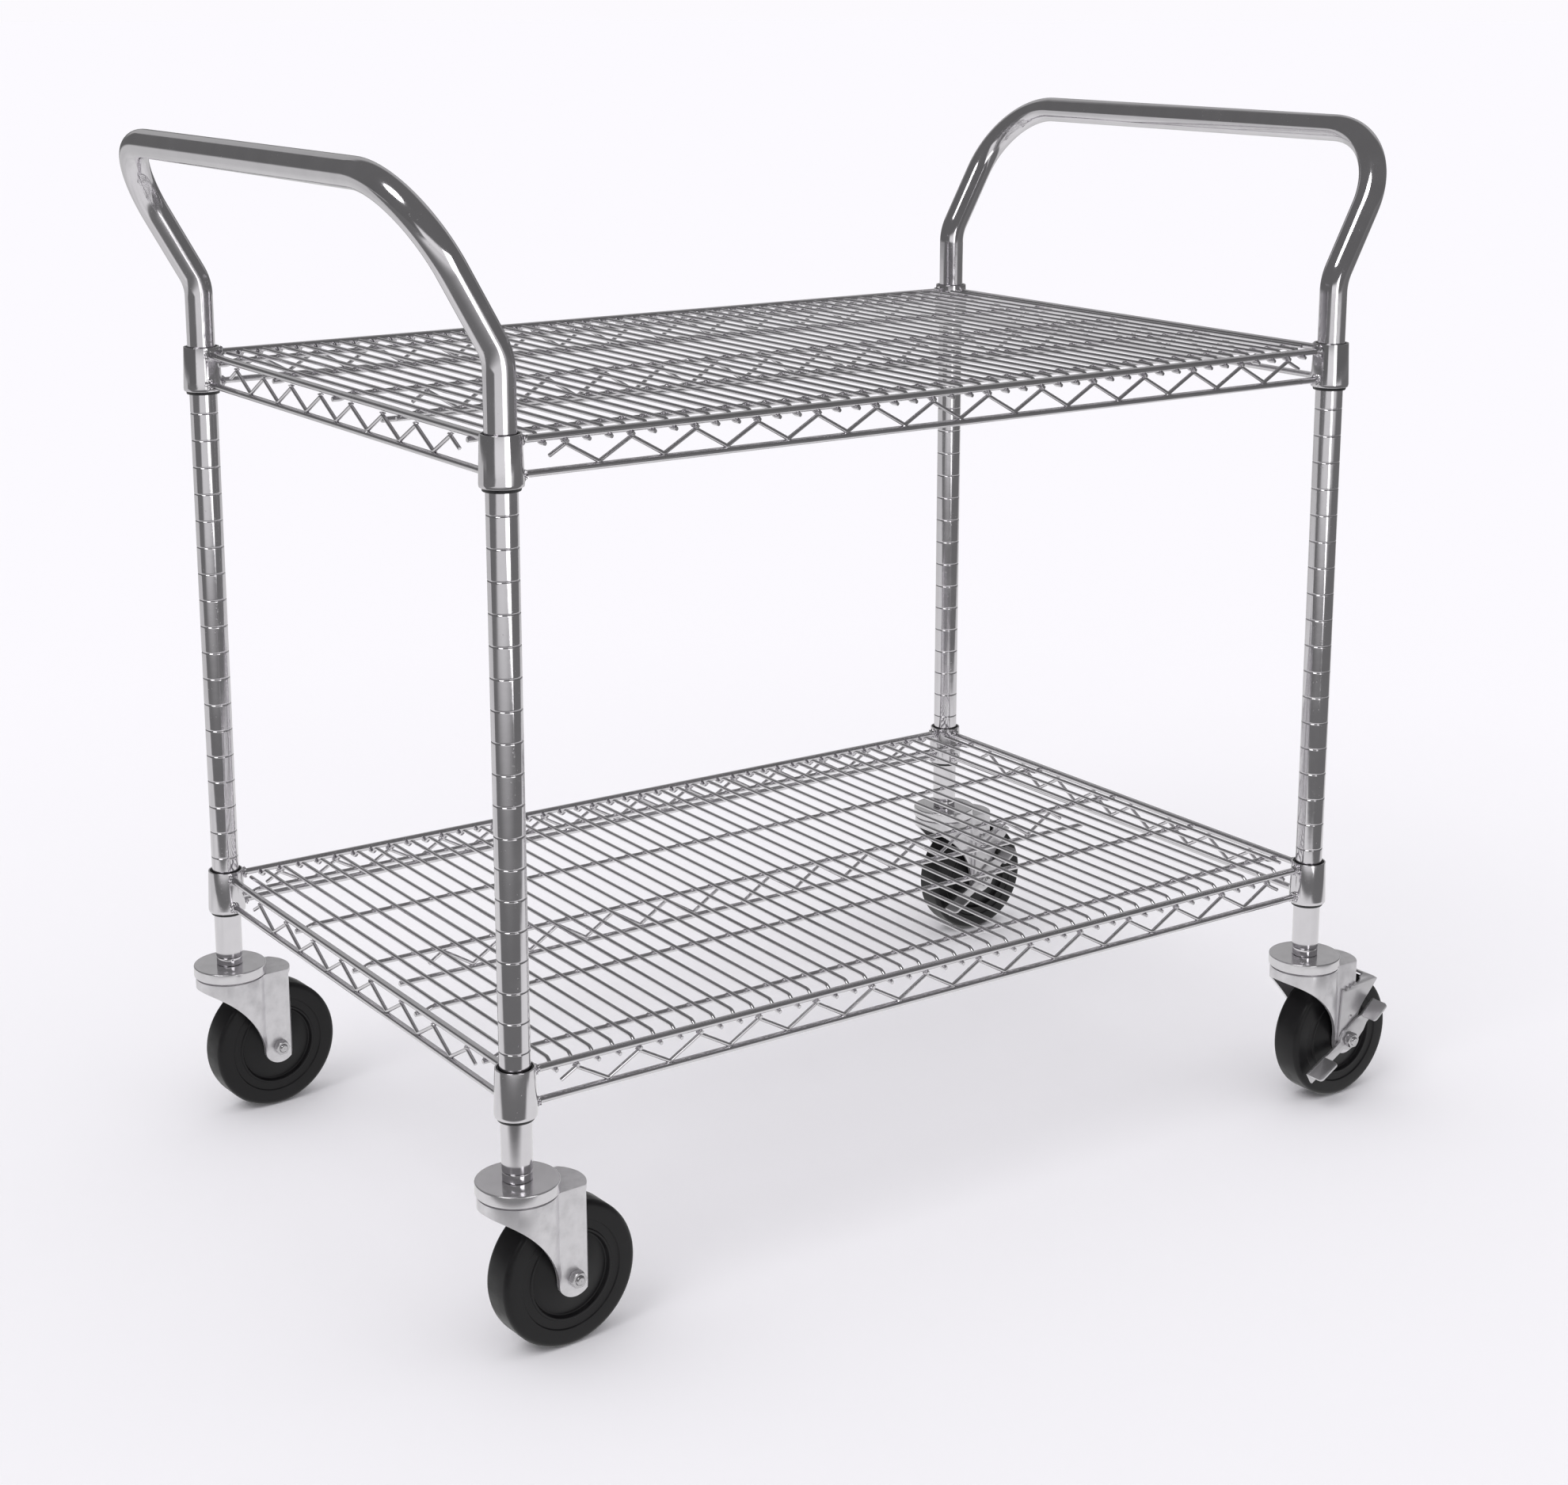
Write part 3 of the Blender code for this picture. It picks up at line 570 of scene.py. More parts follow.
def dipped(half, reach, height, low):
    """(distance, height) points of a wire that dips at both ends, to pass under a rail at half."""
    dip = 0.0105
    steps = 6
    end = []
    for i in range(steps + 1):
        t = i / steps
        end.append((half - 0.0035 - dip * (1 - t), height + (low - height) * t * t * (3 - 2 * t)))
    end.append((reach, low))
    return [(-distance, z) for distance, z in reversed(end)] + end


RAIL_Z = -TOP_RAIL_DEPTH
DECK_Z = RAIL_Z + TOP_RAIL_RADIUS - DECK_WIRE_RADIUS
RIB_Z = DECK_Z - DECK_WIRE_RADIUS - RIB_RADIUS + 0.0003
UNDER_RAIL = RAIL_Z - TOP_RAIL_RADIUS
VALLEY_Z = -BOTTOM_RAIL_DEPTH + BOTTOM_RAIL_RADIUS + 0.0004
PEAK_Z = UNDER_RAIL - 2 * DECK_WIRE_RADIUS * 0.55 - ZIGZAG_RADIUS


def deck_places():
    return [(i - (DECK_WIRE_COUNT - 1) / 2) * DECK_WIRE_PITCH for i in range(DECK_WIRE_COUNT)]


def rib_places():
    return [(i - (RIB_COUNT - 1) / 2) * RIB_PITCH for i in range(RIB_COUNT)]


def rails_mesh():
    """The top and bottom rails of a shelf, with a lumpy weld where each one meets a collar."""
    length, swell, lump = 0.0036, 0.0013, 0.55
    inset, sag = 0.0012, 0.0003
    shape = Shape()
    slope = (COLLAR_BOTTOM_RADIUS - COLLAR_TOP_RADIUS) / COLLAR_HEIGHT
    seed = 0
    for depth, radius in ((TOP_RAIL_DEPTH, TOP_RAIL_RADIUS), (BOTTOM_RAIL_DEPTH, BOTTOM_RAIL_RADIUS)):
        end = COLLAR_TOP_RADIUS + slope * depth - COLLAR_WALL / 2
        face = end + COLLAR_WALL / 2
        for side in (-1, 1):
            reach_x = HALF_X - end
            reach_y = HALF_Y - end
            along_x = [(x, side * HALF_Y, -depth) for x in (-reach_x, reach_x)]
            along_y = [(side * HALF_X, y, -depth) for y in (-reach_y, reach_y)]
            tube(shape, along_x, radius, 20, 0)
            tube(shape, along_y, radius, 20, 0)
            for other in (-1, 1):
                seed += 1
                on_long = (other * (HALF_X - face - inset), side * HALF_Y, -depth - sag)
                on_short = (side * HALF_X, other * (HALF_Y - face - inset), -depth - sag)
                bead(shape, on_long, (length, radius + swell, radius + 0.0014), 4, lump, seed)
                bead(shape, on_short, (radius + swell, length, radius + 0.0014), 4, lump, seed + 40)
    return shape.mesh("shelf_rails")


def deck_mesh():
    """Deck wires lying on ribs, with a weld at each crossing. Their ends dip under the top rails."""
    shape = Shape()
    low = UNDER_RAIL - DECK_WIRE_RADIUS * 0.85
    places = deck_places()
    for i, x in enumerate(places):
        if i in (0, len(places) - 1):
            line = [(-SHORT_WIRE_REACH, DECK_Z), (SHORT_WIRE_REACH, DECK_Z)]
        else:
            line = dipped(HALF_Y, HALF_Y + WIRE_STUB, DECK_Z, low)
            for side in (-1, 1):
                bead(shape, (x, side * HALF_Y, UNDER_RAIL - 0.0001), (0.0023, 0.0025, 0.0008), 2, 0.3, i)
        tube(shape, [(x, y, z) for y, z in line], DECK_WIRE_RADIUS, 14)
    rib_low = UNDER_RAIL - RIB_RADIUS * 0.85
    for y in rib_places():
        line = dipped(HALF_X, HALF_X + WIRE_STUB, RIB_Z, rib_low)
        tube(shape, [(x, y, z) for x, z in line], RIB_RADIUS, 16)
        for side in (-1, 1):
            bead(shape, (side * HALF_X, y, UNDER_RAIL - 0.0001), (0.0028, 0.0030, 0.0009), 2, 0.3, y)
        for i, x in enumerate(places):
            bead(shape, (x, y, DECK_Z - DECK_WIRE_RADIUS), (0.0026, 0.0021, 0.0008), 2, 0.35, i + 9 * y)
    return shape.mesh("shelf_deck")


def trusses_mesh():
    """The zigzag wires between the rails, and the truss that runs down the shelf's middle."""
    shape = Shape()
    hook = ZIGZAG_PITCH / 4
    bend = 0.0032
    runs = []
    for side in (-1, 1):
        long_run = zigzag(LONG_PEAKS, PEAK_Z, VALLEY_Z, hook)
        runs.append([(x, side * HALF_Y, z) for x, z in long_run])
        short_run = zigzag(SHORT_PEAKS, PEAK_Z, VALLEY_Z, hook)
        runs.append([(side * HALF_X, y, z) for y, z in short_run])
    truss_peak = RIB_Z - RIB_RADIUS - ZIGZAG_RADIUS * 0.5
    runs.append([(x, 0, z) for x, z in zigzag(TRUSS_PEAKS, truss_peak, VALLEY_Z, hook)])
    for points in runs:
        tube(shape, filleted(points, bend, 5), ZIGZAG_RADIUS, 14)
        along_x = abs(points[0][1] - points[1][1]) < 1e-9
        for i, (x, y, z) in enumerate(points[1:-1]):
            size = (0.0036, 0.0022, 0.0011) if along_x else (0.0022, 0.0036, 0.0011)
            lift = ZIGZAG_RADIUS if i % 2 == 0 else -ZIGZAG_RADIUS * 0.6
            bead(shape, (x, y, z + lift), size, 2, 0.4, i)
    truss_end = (TRUSS_PEAKS + 0.5) * ZIGZAG_PITCH / 2
    chord = [(-truss_end, 0, -BOTTOM_RAIL_DEPTH), (truss_end, 0, -BOTTOM_RAIL_DEPTH)]
    tube(shape, chord, BOTTOM_RAIL_RADIUS * 0.85, 18)
    return shape.mesh("shelf_trusses")


def collars_mesh():
    """The collars: pressed and tapered, with a rolled bottom edge and a thin flat lip at the top."""
    profile = rounded_profile(
        [
            (COLLAR_TOP_RADIUS - COLLAR_WALL, 0),
            (COLLAR_TOP_RADIUS, 0),
            (COLLAR_BOTTOM_RADIUS - 0.0001, -0.0385, 0.006),
            (COLLAR_BOTTOM_RADIUS - 0.0005, -COLLAR_HEIGHT, 0.0006),
            (COLLAR_BOTTOM_RADIUS - COLLAR_WALL - 0.0001, -COLLAR_HEIGHT, 0.0004),
        ],
        0.0005,
    )
    shape = Shape()
    for x in (-HALF_X, HALF_X):
        for y in (-HALF_Y, HALF_Y):
            lathe(shape, profile, 72, offset=(x, y, 0))
    return shape.mesh("shelf_collars", 50)


def add_shelves():
    pieces = {
        "rails": (rails_mesh(), WIRE_CHROME),
        "deck": (deck_mesh(), WIRE_CHROME),
        "trusses": (trusses_mesh(), WIRE_CHROME),
        "collars": (collars_mesh(), TUBE_CHROME),
    }
    for level, top in COLLAR_TOPS.items():
        place = Matrix.Translation((CENTRE_X, CENTRE_Y, top))
        for name, (mesh, material) in pieces.items():
            add_piece(f"{level}_shelf_{name}", mesh, material, "frame", [f"{level}_shelf"], place)


def add_sleeves():
    """The split plastic sleeve, a little below the collar's top and showing as a lip under it."""
    top_radius = COLLAR_TOP_RADIUS - COLLAR_WALL - GAP
    bottom_radius = COLLAR_BOTTOM_RADIUS - COLLAR_WALL - 0.0007
    profile = rounded_profile(
        [
            (SLEEVE_BORE, -0.0006),
            (top_radius, -0.0006),
            (bottom_radius, -COLLAR_HEIGHT),
            (bottom_radius - 0.0007, -COLLAR_HEIGHT - SLEEVE_LIP),
            (SLEEVE_BORE, -COLLAR_HEIGHT - SLEEVE_LIP),
        ],
        0.0004,
    )
    shape = Shape()
    lathe(shape, profile, 64, gap=math.radians(6.5))
    mesh = shape.mesh("sleeve")
    for level, top in COLLAR_TOPS.items():
        for corner, post in POSTS.items():
            name = f"{level}_sleeve_{corner}"
            place = Matrix.Translation((post.x, post.y, top))
            add_piece(f"{name}_ring", mesh, PLASTIC, "frame", [name], place)


# ---------------------------------------------------------------- posts and handles


def post_mesh():
    """The post's tube, with a rolled ring groove at every inch between the shelves."""
    inner = TUBE_RADIUS - TUBE_WALL
    outer = [(TUBE_RADIUS, TUBE_SEAM)]
    for i in reversed(range(GROOVE_COUNT)):
        height = FIRST_GROOVE + i * GROOVE_PITCH
        for step, sunk in GROOVE_SECTION:
            outer.append((TUBE_RADIUS - GROOVE_DEPTH * sunk, height + GROOVE_HALF * step))
    foot = arc(0.0009, 0, -math.pi / 2, 4, (TUBE_RADIUS - 0.0009, POST_BOTTOM + 0.0009))
    shape = Shape()
    lathe(shape, outer + foot + [(inner, POST_BOTTOM), (inner, TUBE_SEAM)], 72)
    return shape.mesh("post", 60)


def handle_path():
    """One end's handle: (outward, across, height) points from the front leg to the back leg."""
    lean = HANDLE_LEAN
    leg = [(0, TUBE_SEAM + GAP)]
    for x, z in arc(HANDLE_BEND_RADIUS, 0, lean, 14):
        leg.append((HANDLE_BEND_RADIUS - x, HANDLE_BEND_HEIGHT + z))
    foot_x, foot_z = leg[-1]
    straight = HANDLE_SLANT - HANDLE_CORNER_RADIUS
    rise = arc(HANDLE_CORNER_RADIUS, math.pi, math.pi / 2, 28, (HANDLE_CORNER_RADIUS, straight))
    front = [(x, -HALF_Y, z) for x, z in leg]
    front += [(foot_x + up * math.sin(lean), -HALF_Y + y, foot_z + up * math.cos(lean)) for y, up in rise]
    return front + [(x, -y, z) for x, y, z in reversed(front)]


def add_posts_and_handles():
    post = post_mesh()
    for corner, centre in POSTS.items():
        place = Matrix.Translation((centre.x, centre.y, 0))
        add_piece(f"post_{corner}_tube", post, TUBE_CHROME, "frame", [f"post_{corner}"], place)
    for name, side in (("left_handle", -1), ("right_handle", 1)):
        shape = Shape()
        points = [(side * (HALF_X + x), y, z) for x, y, z in handle_path()]
        tube(shape, points, TUBE_RADIUS, 64, 0.02)
        place = Matrix.Translation((CENTRE_X, CENTRE_Y, 0))
        add_piece(f"{name}_tube", shape.mesh(name), TUBE_CHROME, "frame", [name], place)


# ---------------------------------------------------------------- casters


def plan_outline(radius, half_width, rear):
    """The fork's plan: round in front, a soft crease, and straight back along each leg."""
    crease = math.asin(half_width / radius)
    corner = radius * math.cos(crease)
    soft = math.radians(7)
    front = arc(radius, crease + soft, 2 * math.pi - crease - soft, 60)
    line_end = corner + 0.0042

    def crease_points(sign):
        start = (line_end, sign * half_width)
        control = (corner, sign * half_width)
        end = (radius * math.cos(crease + soft), sign * radius * math.sin(crease + soft))
        return bezier((start, control, control, end), 6)[:-1]

    left = [(rear, half_width)] + crease_points(1)
    right = [(rear, -half_width)] + crease_points(-1)
    return left + front + right[::-1]


def fork_mesh():
    """The pressed fork: a round skirt under the bearing that runs back into two flat legs."""
    rear_top = 0.051
    bulge = 0.0090
    outer = plan_outline(SKIRT_RADIUS, LEG_OUTER, rear_top)
    bulge_radius = (LEG_OUTER**2 + bulge**2) / (2 * bulge)
    swing = math.asin(LEG_OUTER / bulge_radius)
    back = arc(bulge_radius, -swing, swing, 16, (rear_top + bulge - bulge_radius, 0))[1:-1]
    body = slab("fork", [outer + back], 0.040, CROWN_TOP)
    top = CROWN_TOP - 1e-5
    rear_edge = 0.04
    body = bevel_edges(body, 0.0030, 5, lambda a, b: min(a.z, b.z) > top and (a - b).length < rear_edge)
    axle = (CASTER_TRAIL, WHEEL_RADIUS)
    foot_radius = 0.0165
    sweep = bezier(((0.0228, 0.0655), (0.0150, 0.0900), (-0.0080, 0.1250), (-0.040, 0.1330)), 26)
    side = [(-0.040, 0.150), (0.070, 0.150), (0.070, CROWN_UNDERSIDE), (rear_top, CROWN_UNDERSIDE - 0.0008)]
    side += arc(foot_radius, math.radians(4), -math.radians(170), 24, axle) + sweep
    profile = slab("fork_side", [side], -0.05, 0.05)
    profile.data.transform(Matrix.Rotation(math.pi / 2, 4, "X"))
    body = join(body, [profile], "INTERSECT")
    cavity = slab("cavity", [plan_outline(SKIRT_RADIUS - SHEET, LEG_INNER, 0.080)], 0.030, CROWN_UNDERSIDE)
    roof = CROWN_UNDERSIDE - 1e-5
    cavity = bevel_edges(cavity, 0.0012, 3, lambda a, b: min(a.z, b.z) > roof and max(a.x, b.x) < 0.079)
    groove_floor = CUP_TOP - 0.0029
    groove = [
        (BALL_GROOVE_OUTER, CUP_TOP + 0.002),
        (BALL_GROOVE_OUTER, groove_floor),
        (BALL_GROOVE_INNER, groove_floor),
        (BALL_GROOVE_INNER, CUP_TOP + 0.002),
    ]
    cup = slab("cup", [arc(CUP_RADIUS, 0, 2 * math.pi, 72)[:-1]], CROWN_TOP - 0.002, CUP_TOP)
    pin_hole = slab("pin_hole", [arc(STUD_RADIUS + 0.0004, 0, 2 * math.pi, 32)[:-1]], 0.12, 0.16)
    axle_hole = slab("axle_hole", [arc(AXLE_RADIUS + GAP, 0, 2 * math.pi, 32)[:-1]], -0.05, 0.05)
    axle_hole.data.transform(Matrix.Rotation(math.pi / 2, 4, "X"))
    axle_hole.data.transform(Matrix.Translation((CASTER_TRAIL, 0, WHEEL_RADIUS)))
    body = join(body, [cavity], "DIFFERENCE")
    body = join(body, [cup], "UNION")
    body = join(body, [pin_hole, turned_tool("ball_groove", groove, 72), axle_hole], "DIFFERENCE")
    return shade(eased(body, 0.00045), 35)


def wheel_mesh():
    """The wheel: an eased tread, a raised rim on each side, two ring grooves and a recessed web."""
    hub = LEG_INNER - 0.0008
    half = WHEEL_HALF
    side = [
        (WHEEL_RADIUS, half, 0.0052),
        (0.0470, half, 0.0007),
        (0.0462, half - 0.0011, 0.0006),
        (0.0395, half - 0.0011, 0.0006),
        (0.0388, half - 0.0002, 0.0004),
        (0.0372, half - 0.0002, 0.0006),
        (0.0355, half - 0.0040, 0.0012),
        (0.0150, hub, 0.0012),
        (STUD_RADIUS + 0.0004, hub, 0.0004),
    ]
    corners = list(reversed(side)) + [(radius, -height, size) for radius, height, size in side]
    shape = Shape()
    lathe(shape, rounded_profile(corners, 0.0005, 6), 128)
    return shape.mesh("wheel", 50)


def plate_mesh():
    """The turned top plate that the stem is riveted through, with the ball groove on its underside."""
    bore = STUD_RADIUS + GAP
    roof = PLATE_UNDERSIDE + 0.003
    profile = rounded_profile(
        [
            (bore, PLATE_TOP, 0.0003),
            (PLATE_RADIUS, PLATE_TOP, 0.0012),
            (PLATE_RADIUS, PLATE_UNDERSIDE, 0.0008),
            (BALL_GROOVE_OUTER, PLATE_UNDERSIDE, 0.0004),
            (BALL_GROOVE_OUTER, roof, 0.001),
            (BALL_GROOVE_INNER, roof, 0.001),
            (BALL_GROOVE_INNER, PLATE_UNDERSIDE, 0.0004),
            (bore, PLATE_UNDERSIDE, 0.0003),
        ],
        0.0005,
        5,
    )
    shape = Shape()
    lathe(shape, profile, 96)
    return shape.mesh("plate", 50)


def stem_mesh():
    """The stud, its polished shoulder with a thin groove at its foot, and the riveted king pin."""
    shoulder = TUBE_RADIUS - GAP
    foot = PLATE_TOP + GAP
    head = CROWN_UNDERSIDE - GAP
    tip = 0.0004
    outer = [
        (STUD_RADIUS - 0.001, 0.190, 0.0004),
        (STUD_RADIUS, 0.189, 0.0004),
        (STUD_RADIUS, POST_BOTTOM - GAP, 0),
        (shoulder, POST_BOTTOM - GAP, 0.0006),
        (shoulder, foot, 0.0005),
        (STUD_RADIUS, foot, 0),
        (STUD_RADIUS, head, 0),
        (0.0095, head, 0.0005),
        (0.0095, head - 0.0035, 0.0016),
    ]
    profile = rounded_profile([(tip, 0.190, 0)] + outer + [(tip, head - 0.0035, 0)], 0.0003, 4)
    shape = Shape()
    lathe(shape, profile, 64)
    return shape.mesh("stem", 50)


def threaded(radius, start, end):
    """(radius, height) points down a thread, from its chamfered end to where it starts."""
    pitch = 0.00125
    depth = 0.0005
    points = [(radius - 0.0012, end), (radius - 0.0003, end - 0.0008)]
    height = end - 0.0014
    while height - pitch > start:
        points += [(radius, height), (radius, height - pitch * 0.25)]
        points.append((radius - depth, height - pitch * 0.7))
        height -= pitch
    return points + [(radius, start)]


def bolt_mesh(end):
    """The axle bolt: a hexagon head on the far side, and a chamfered thread out through the nut."""
    head_top = -LEG_OUTER - GAP
    tip = 0.0003
    shaft = threaded(AXLE_RADIUS, end - NUT_THICKNESS - 0.004, end)
    profile = [(tip, end)] + shaft + [(AXLE_RADIUS, head_top - 0.002), (tip, head_top - 0.002)]
    body = turned_tool("bolt", profile, 40)
    head = hexagon_piece(head_top - 0.0053, head_top, both_ends=False)
    return shade(baked(join(body, [head], "UNION")), 35)


def hexagon_piece(bottom, top, both_ends):
    """A hexagon whose corners are turned down to a chamfer at its low end, or at both ends."""
    block = slab("hexagon", [hexagon(NUT_RADIUS)], bottom, top)
    flat = NUT_RADIUS * math.cos(math.pi / 6) - 0.0004
    corner = NUT_RADIUS + 0.0002
    axis = 0.0002
    drop = 0.0009
    past = 0.001
    upper = [(0.02, top + past)]
    if both_ends:
        upper = [(flat, top + past), (flat, top), (corner, top - drop)]
    lower = [(corner, bottom + drop), (flat, bottom), (flat, bottom - past)]
    profile = [(axis, top + past)] + upper + lower + [(axis, bottom - past)]
    return join(block, [turned_tool("chamfer", profile, 60)], "INTERSECT")


def nut_mesh():
    nut = hexagon_piece(0, NUT_THICKNESS, both_ends=True)
    bore = slab("bore", [arc(AXLE_RADIUS + GAP, 0, 2 * math.pi, 36)[:-1]], -0.01, 0.02)
    return shade(eased(join(nut, [bore], "DIFFERENCE"), 0.00025), 30)


# ---------------------------------------------------------------- brakes


def polar(distance, angle, offset=0.0):
    """A point along a direction from the axle, moved sideways to its left by offset."""
    x = distance * math.cos(angle) - offset * math.sin(angle)
    y = distance * math.sin(angle) + offset * math.cos(angle)
    return (x, y)


def shoe_mesh():
    """The brake shoe: a web up the outside of the leg, and a toothed pad bent in over the tread."""
    start = math.radians(73.5)
    end = math.radians(54)
    travel = 0.0015
    travel_angle = math.radians(65)
    outer = SHOE_RADIUS + 0.002
    teeth = 3
    top = []
    for i in range(teeth):
        x = -0.0085 + 0.0056 * i
        y = 0.0492 + 0.0014 * i
        top += [(x, y), (x + 0.0008, y + 0.0026), (x + 0.0026, y + 0.0030), (x + 0.0034, y + 0.0006)]
    notch = arc(0.0034, math.radians(215), math.radians(385), 10, (0.0122, 0.0585))
    rim = arc(0.0115, math.radians(180), math.radians(360), 24)
    rim += bezier(((0.0125, 0.008), (0.0125, 0.030), (0.0230, 0.034), polar(SHOE_RADIUS, end)), 16)
    rim += arc(outer, end, start, 12) + list(reversed(notch)) + list(reversed(top))
    drift = (travel * math.cos(travel_angle), travel * math.sin(travel_angle))
    bore = AXLE_RADIUS + GAP
    turn = travel_angle + math.pi / 2
    slot = arc(bore, turn, turn + math.pi, 16) + arc(bore, turn - math.pi, turn, 16, drift)
    web = slab("shoe", [rim, slot], SHOE_INNER, SHOE_OUTER)
    pad_outline = arc(outer, end, start, 12) + arc(SHOE_RADIUS, start, end, 12)
    pad = slab("shoe_pad", [pad_outline], -0.015, SHOE_OUTER - 0.0002)
    drop_radius = 0.0017
    circle = arc(drop_radius, 0, 2 * math.pi, 24)[:-1]
    drop = [(x * (1 + 0.35 * y / drop_radius), 1.9 * y) for x, y in circle]
    hole = slab("drop_hole", [drop], 0.055, 0.075)
    hole.data.transform(Matrix.Rotation(math.pi / 2, 4, "Y"))
    hole.data.transform(Matrix.Translation((0, 0, 0.0135)))
    hole.data.transform(Matrix.Rotation(math.radians(62), 4, "Z"))
    body = join(join(web, [pad], "UNION"), [hole], "DIFFERENCE")
    made = eased(body, 0.0004)
    shape = Shape()
    shape.add([vertex.co for vertex in made.vertices], [tuple(face.vertices) for face in made.polygons])
    bead(shape, (*polar(0.0215, math.radians(80)), SHOE_OUTER), (0.0024, 0.0024, 0.0011), 3)
    return shape.mesh("shoe", 35)


def pedal_mesh():
    """The pedal: a waisted lever on the axle with a foot pad bent out at each end."""
    up = math.radians(39)
    down = math.radians(210)
    up_end = 0.048
    down_end = 0.060
    half = PEDAL_HALF_WIDTH
    wide = half + 0.0044
    narrow = half - 0.0011
    full = 2 * math.pi
    arms = (
        (up, wide, ((0.0190, half + 0.0030), (0.0262, half), (up_end, half))),
        (down, narrow, ((0.0300, narrow), (0.0335, half), (down_end, half))),
    )
    spreads = [math.asin(side / PEDAL_BOSS) for _, side, _ in arms]
    ends = (down - spreads[1], full + up - spreads[0])
    rim = []
    for (angle, side, edge), spread, end in zip(arms, spreads, ends):
        sides = ((PEDAL_BOSS * math.cos(spread), side), *edge)
        rim += [polar(far, angle, -out) for far, out in sides]
        rim += [polar(far, angle, out) for far, out in reversed(sides)]
        rim += arc(PEDAL_BOSS, angle + spread, end, 18)[1:-1]
    bore = arc(AXLE_RADIUS + GAP, 0, full, 32)[:-1]
    lever = slab("pedal", [rim, bore], PEDAL_INNER, PEDAL_OUTER)
    sheet = 0.0024
    corner = 0.0035
    pads = (
        ("up_pad", up, 0.026, up_end - GAP, half - sheet),
        ("down_pad", down, 0.034, down_end - GAP, -half + GAP),
    )
    for name, angle, near, far, low in pads:
        outline = [(near, PEDAL_INNER + 0.0002), (far, PEDAL_INNER + 0.0002)]
        outline += arc(corner, 0, math.pi / 2, 6, (far - corner, PEDAL_REACH - corner))
        outline += arc(corner, math.pi / 2, math.pi, 6, (near + corner, PEDAL_REACH - corner))
        pad = slab(name, [outline], -low - sheet + GAP, -low)
        pad.data.transform(Matrix.Rotation(math.pi / 2, 4, "X"))
        pad.data.transform(Matrix.Rotation(angle, 4, "Z"))
        lever = join(lever, [pad], "UNION")
    return shade(eased(lever, 0.0004), 35)


def add_casters():
    fork = fork_mesh()
    wheel = wheel_mesh()
    plate = plate_mesh()
    stem = stem_mesh()
    nut = nut_mesh()
    shoe = shoe_mesh()
    pedal = pedal_mesh()
    to_axle = Matrix.Translation((CASTER_TRAIL, 0, WHEEL_RADIUS)) @ Matrix.Rotation(math.pi / 2, 4, "X")
    bolts = {}
    for corner, post in POSTS.items():
        side = corner.split("_")[1]
        braked = side == "right"
        swivel = Matrix.Translation((post.x, post.y, 0)) @ Matrix.Rotation(YAW[side], 4, "Z")
        axle = swivel @ to_axle
        nut_face = (PEDAL_OUTER if braked else LEG_OUTER) + GAP
        if braked not in bolts:
            bolts[braked] = bolt_mesh(nut_face + NUT_THICKNESS + 0.0022)
        body = f"caster_{corner}"
        rolling = f"rolling_wheel_{corner}"
        on_face = axle @ Matrix.Translation((0, 0, nut_face))
        add_piece(f"stem_{corner}", stem, MIRROR_CHROME, "frame", [f"caster_stem_{corner}"], swivel)
        add_piece(f"plate_{corner}", plate, DISC_ZINC, "frame", [f"caster_plate_{corner}"], swivel)
        add_piece(f"fork_{corner}_pressing", fork, ZINC, body, [f"fork_{corner}"], swivel)
        add_piece(f"wheel_{corner}_rubber", wheel, RUBBER, rolling, [f"wheel_{corner}"], axle)
        add_piece(f"bolt_{corner}", bolts[braked], BOLT_ZINC, body, [f"axle_bolt_{corner}"], axle)
        add_piece(f"nut_{corner}", nut, BOLT_ZINC, body, [f"axle_nut_{corner}"], on_face)
        if braked:
            for kind, mesh in (("shoe", shoe), ("pedal", pedal)):
                node = f"brake_{kind}_{corner}"
                add_piece(f"{kind}_{corner}_pressing", mesh, BRAKE_ZINC, f"{kind}_{corner}", [node], axle)


def finish_cad_nodes():
    """The CAD nodes that still show are the hidden steel pieces inside the tubes, forks and wheels."""
    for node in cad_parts.values():
        node.data.materials.clear()
        node.data.materials.append(STEEL)


# ---------------------------------------------------------------- studio

# Tilts are from the vertical, and azimuths run clockwise from +Y
WHITE = (0.973, 0.956, 0.991)
FILL = 0.84
KEY_TILT = math.radians(38)
KEY_AZIMUTH = math.radians(250)
KEY_STRENGTH = 0.62
KEY_ANGLE = math.radians(26)
# The lit paper under the cart ends this far out, in front and at one side
PAPER_AZIMUTH = math.radians(221)
PAPER_FRONT = 0.76
PAPER_SIDE_AZIMUTH = math.radians(153)
PAPER_SIDE = 1.02
# The softbox: where its two sides stand on the floor, then its lowest and highest points
SOFTBOX = (((0.20, -2.00), (-0.85, -3.20)), (0.03, 1.25))
SOFTBOX_STRENGTH = 2.4
ROOM = 0.14
DARK_FLOOR = 0.17
# Each patch of light that the chrome sees: its azimuths, its elevations, their softness, and what it adds
PATCHES = (
    (((288, 370), (-95, -5.5), 3), 0.50),
    (((-10, 58), (-95, -5.5), 3), 0.50),
    (((58, 160), (-95, -6), 5), 0.15),
    (((186, 240), (-95, 7), 4), 0.70),
    (((-10, 75), (9, 38), 6), 0.28),
)


def band(tree, value, low, high, soft):
    """1 between low and high, falling to 0 over soft on each side."""
    rise = remap(tree, value, low - soft, low + soft, 0, 1)
    fall = remap(tree, value, high - soft, high + soft, 0, 1)
    return maths(tree, "SUBTRACT", rise, fall)


def patch(tree, azimuth, elevation, where, amount):
    """A soft edged rectangle of the studio's walls, in degrees."""
    (west, east), (low, high), soft = where
    across = band(tree, azimuth, west, east, soft)
    upward = band(tree, elevation, low, high, soft)
    return maths(tree, "MULTIPLY", maths(tree, "MULTIPLY", across, upward), amount)


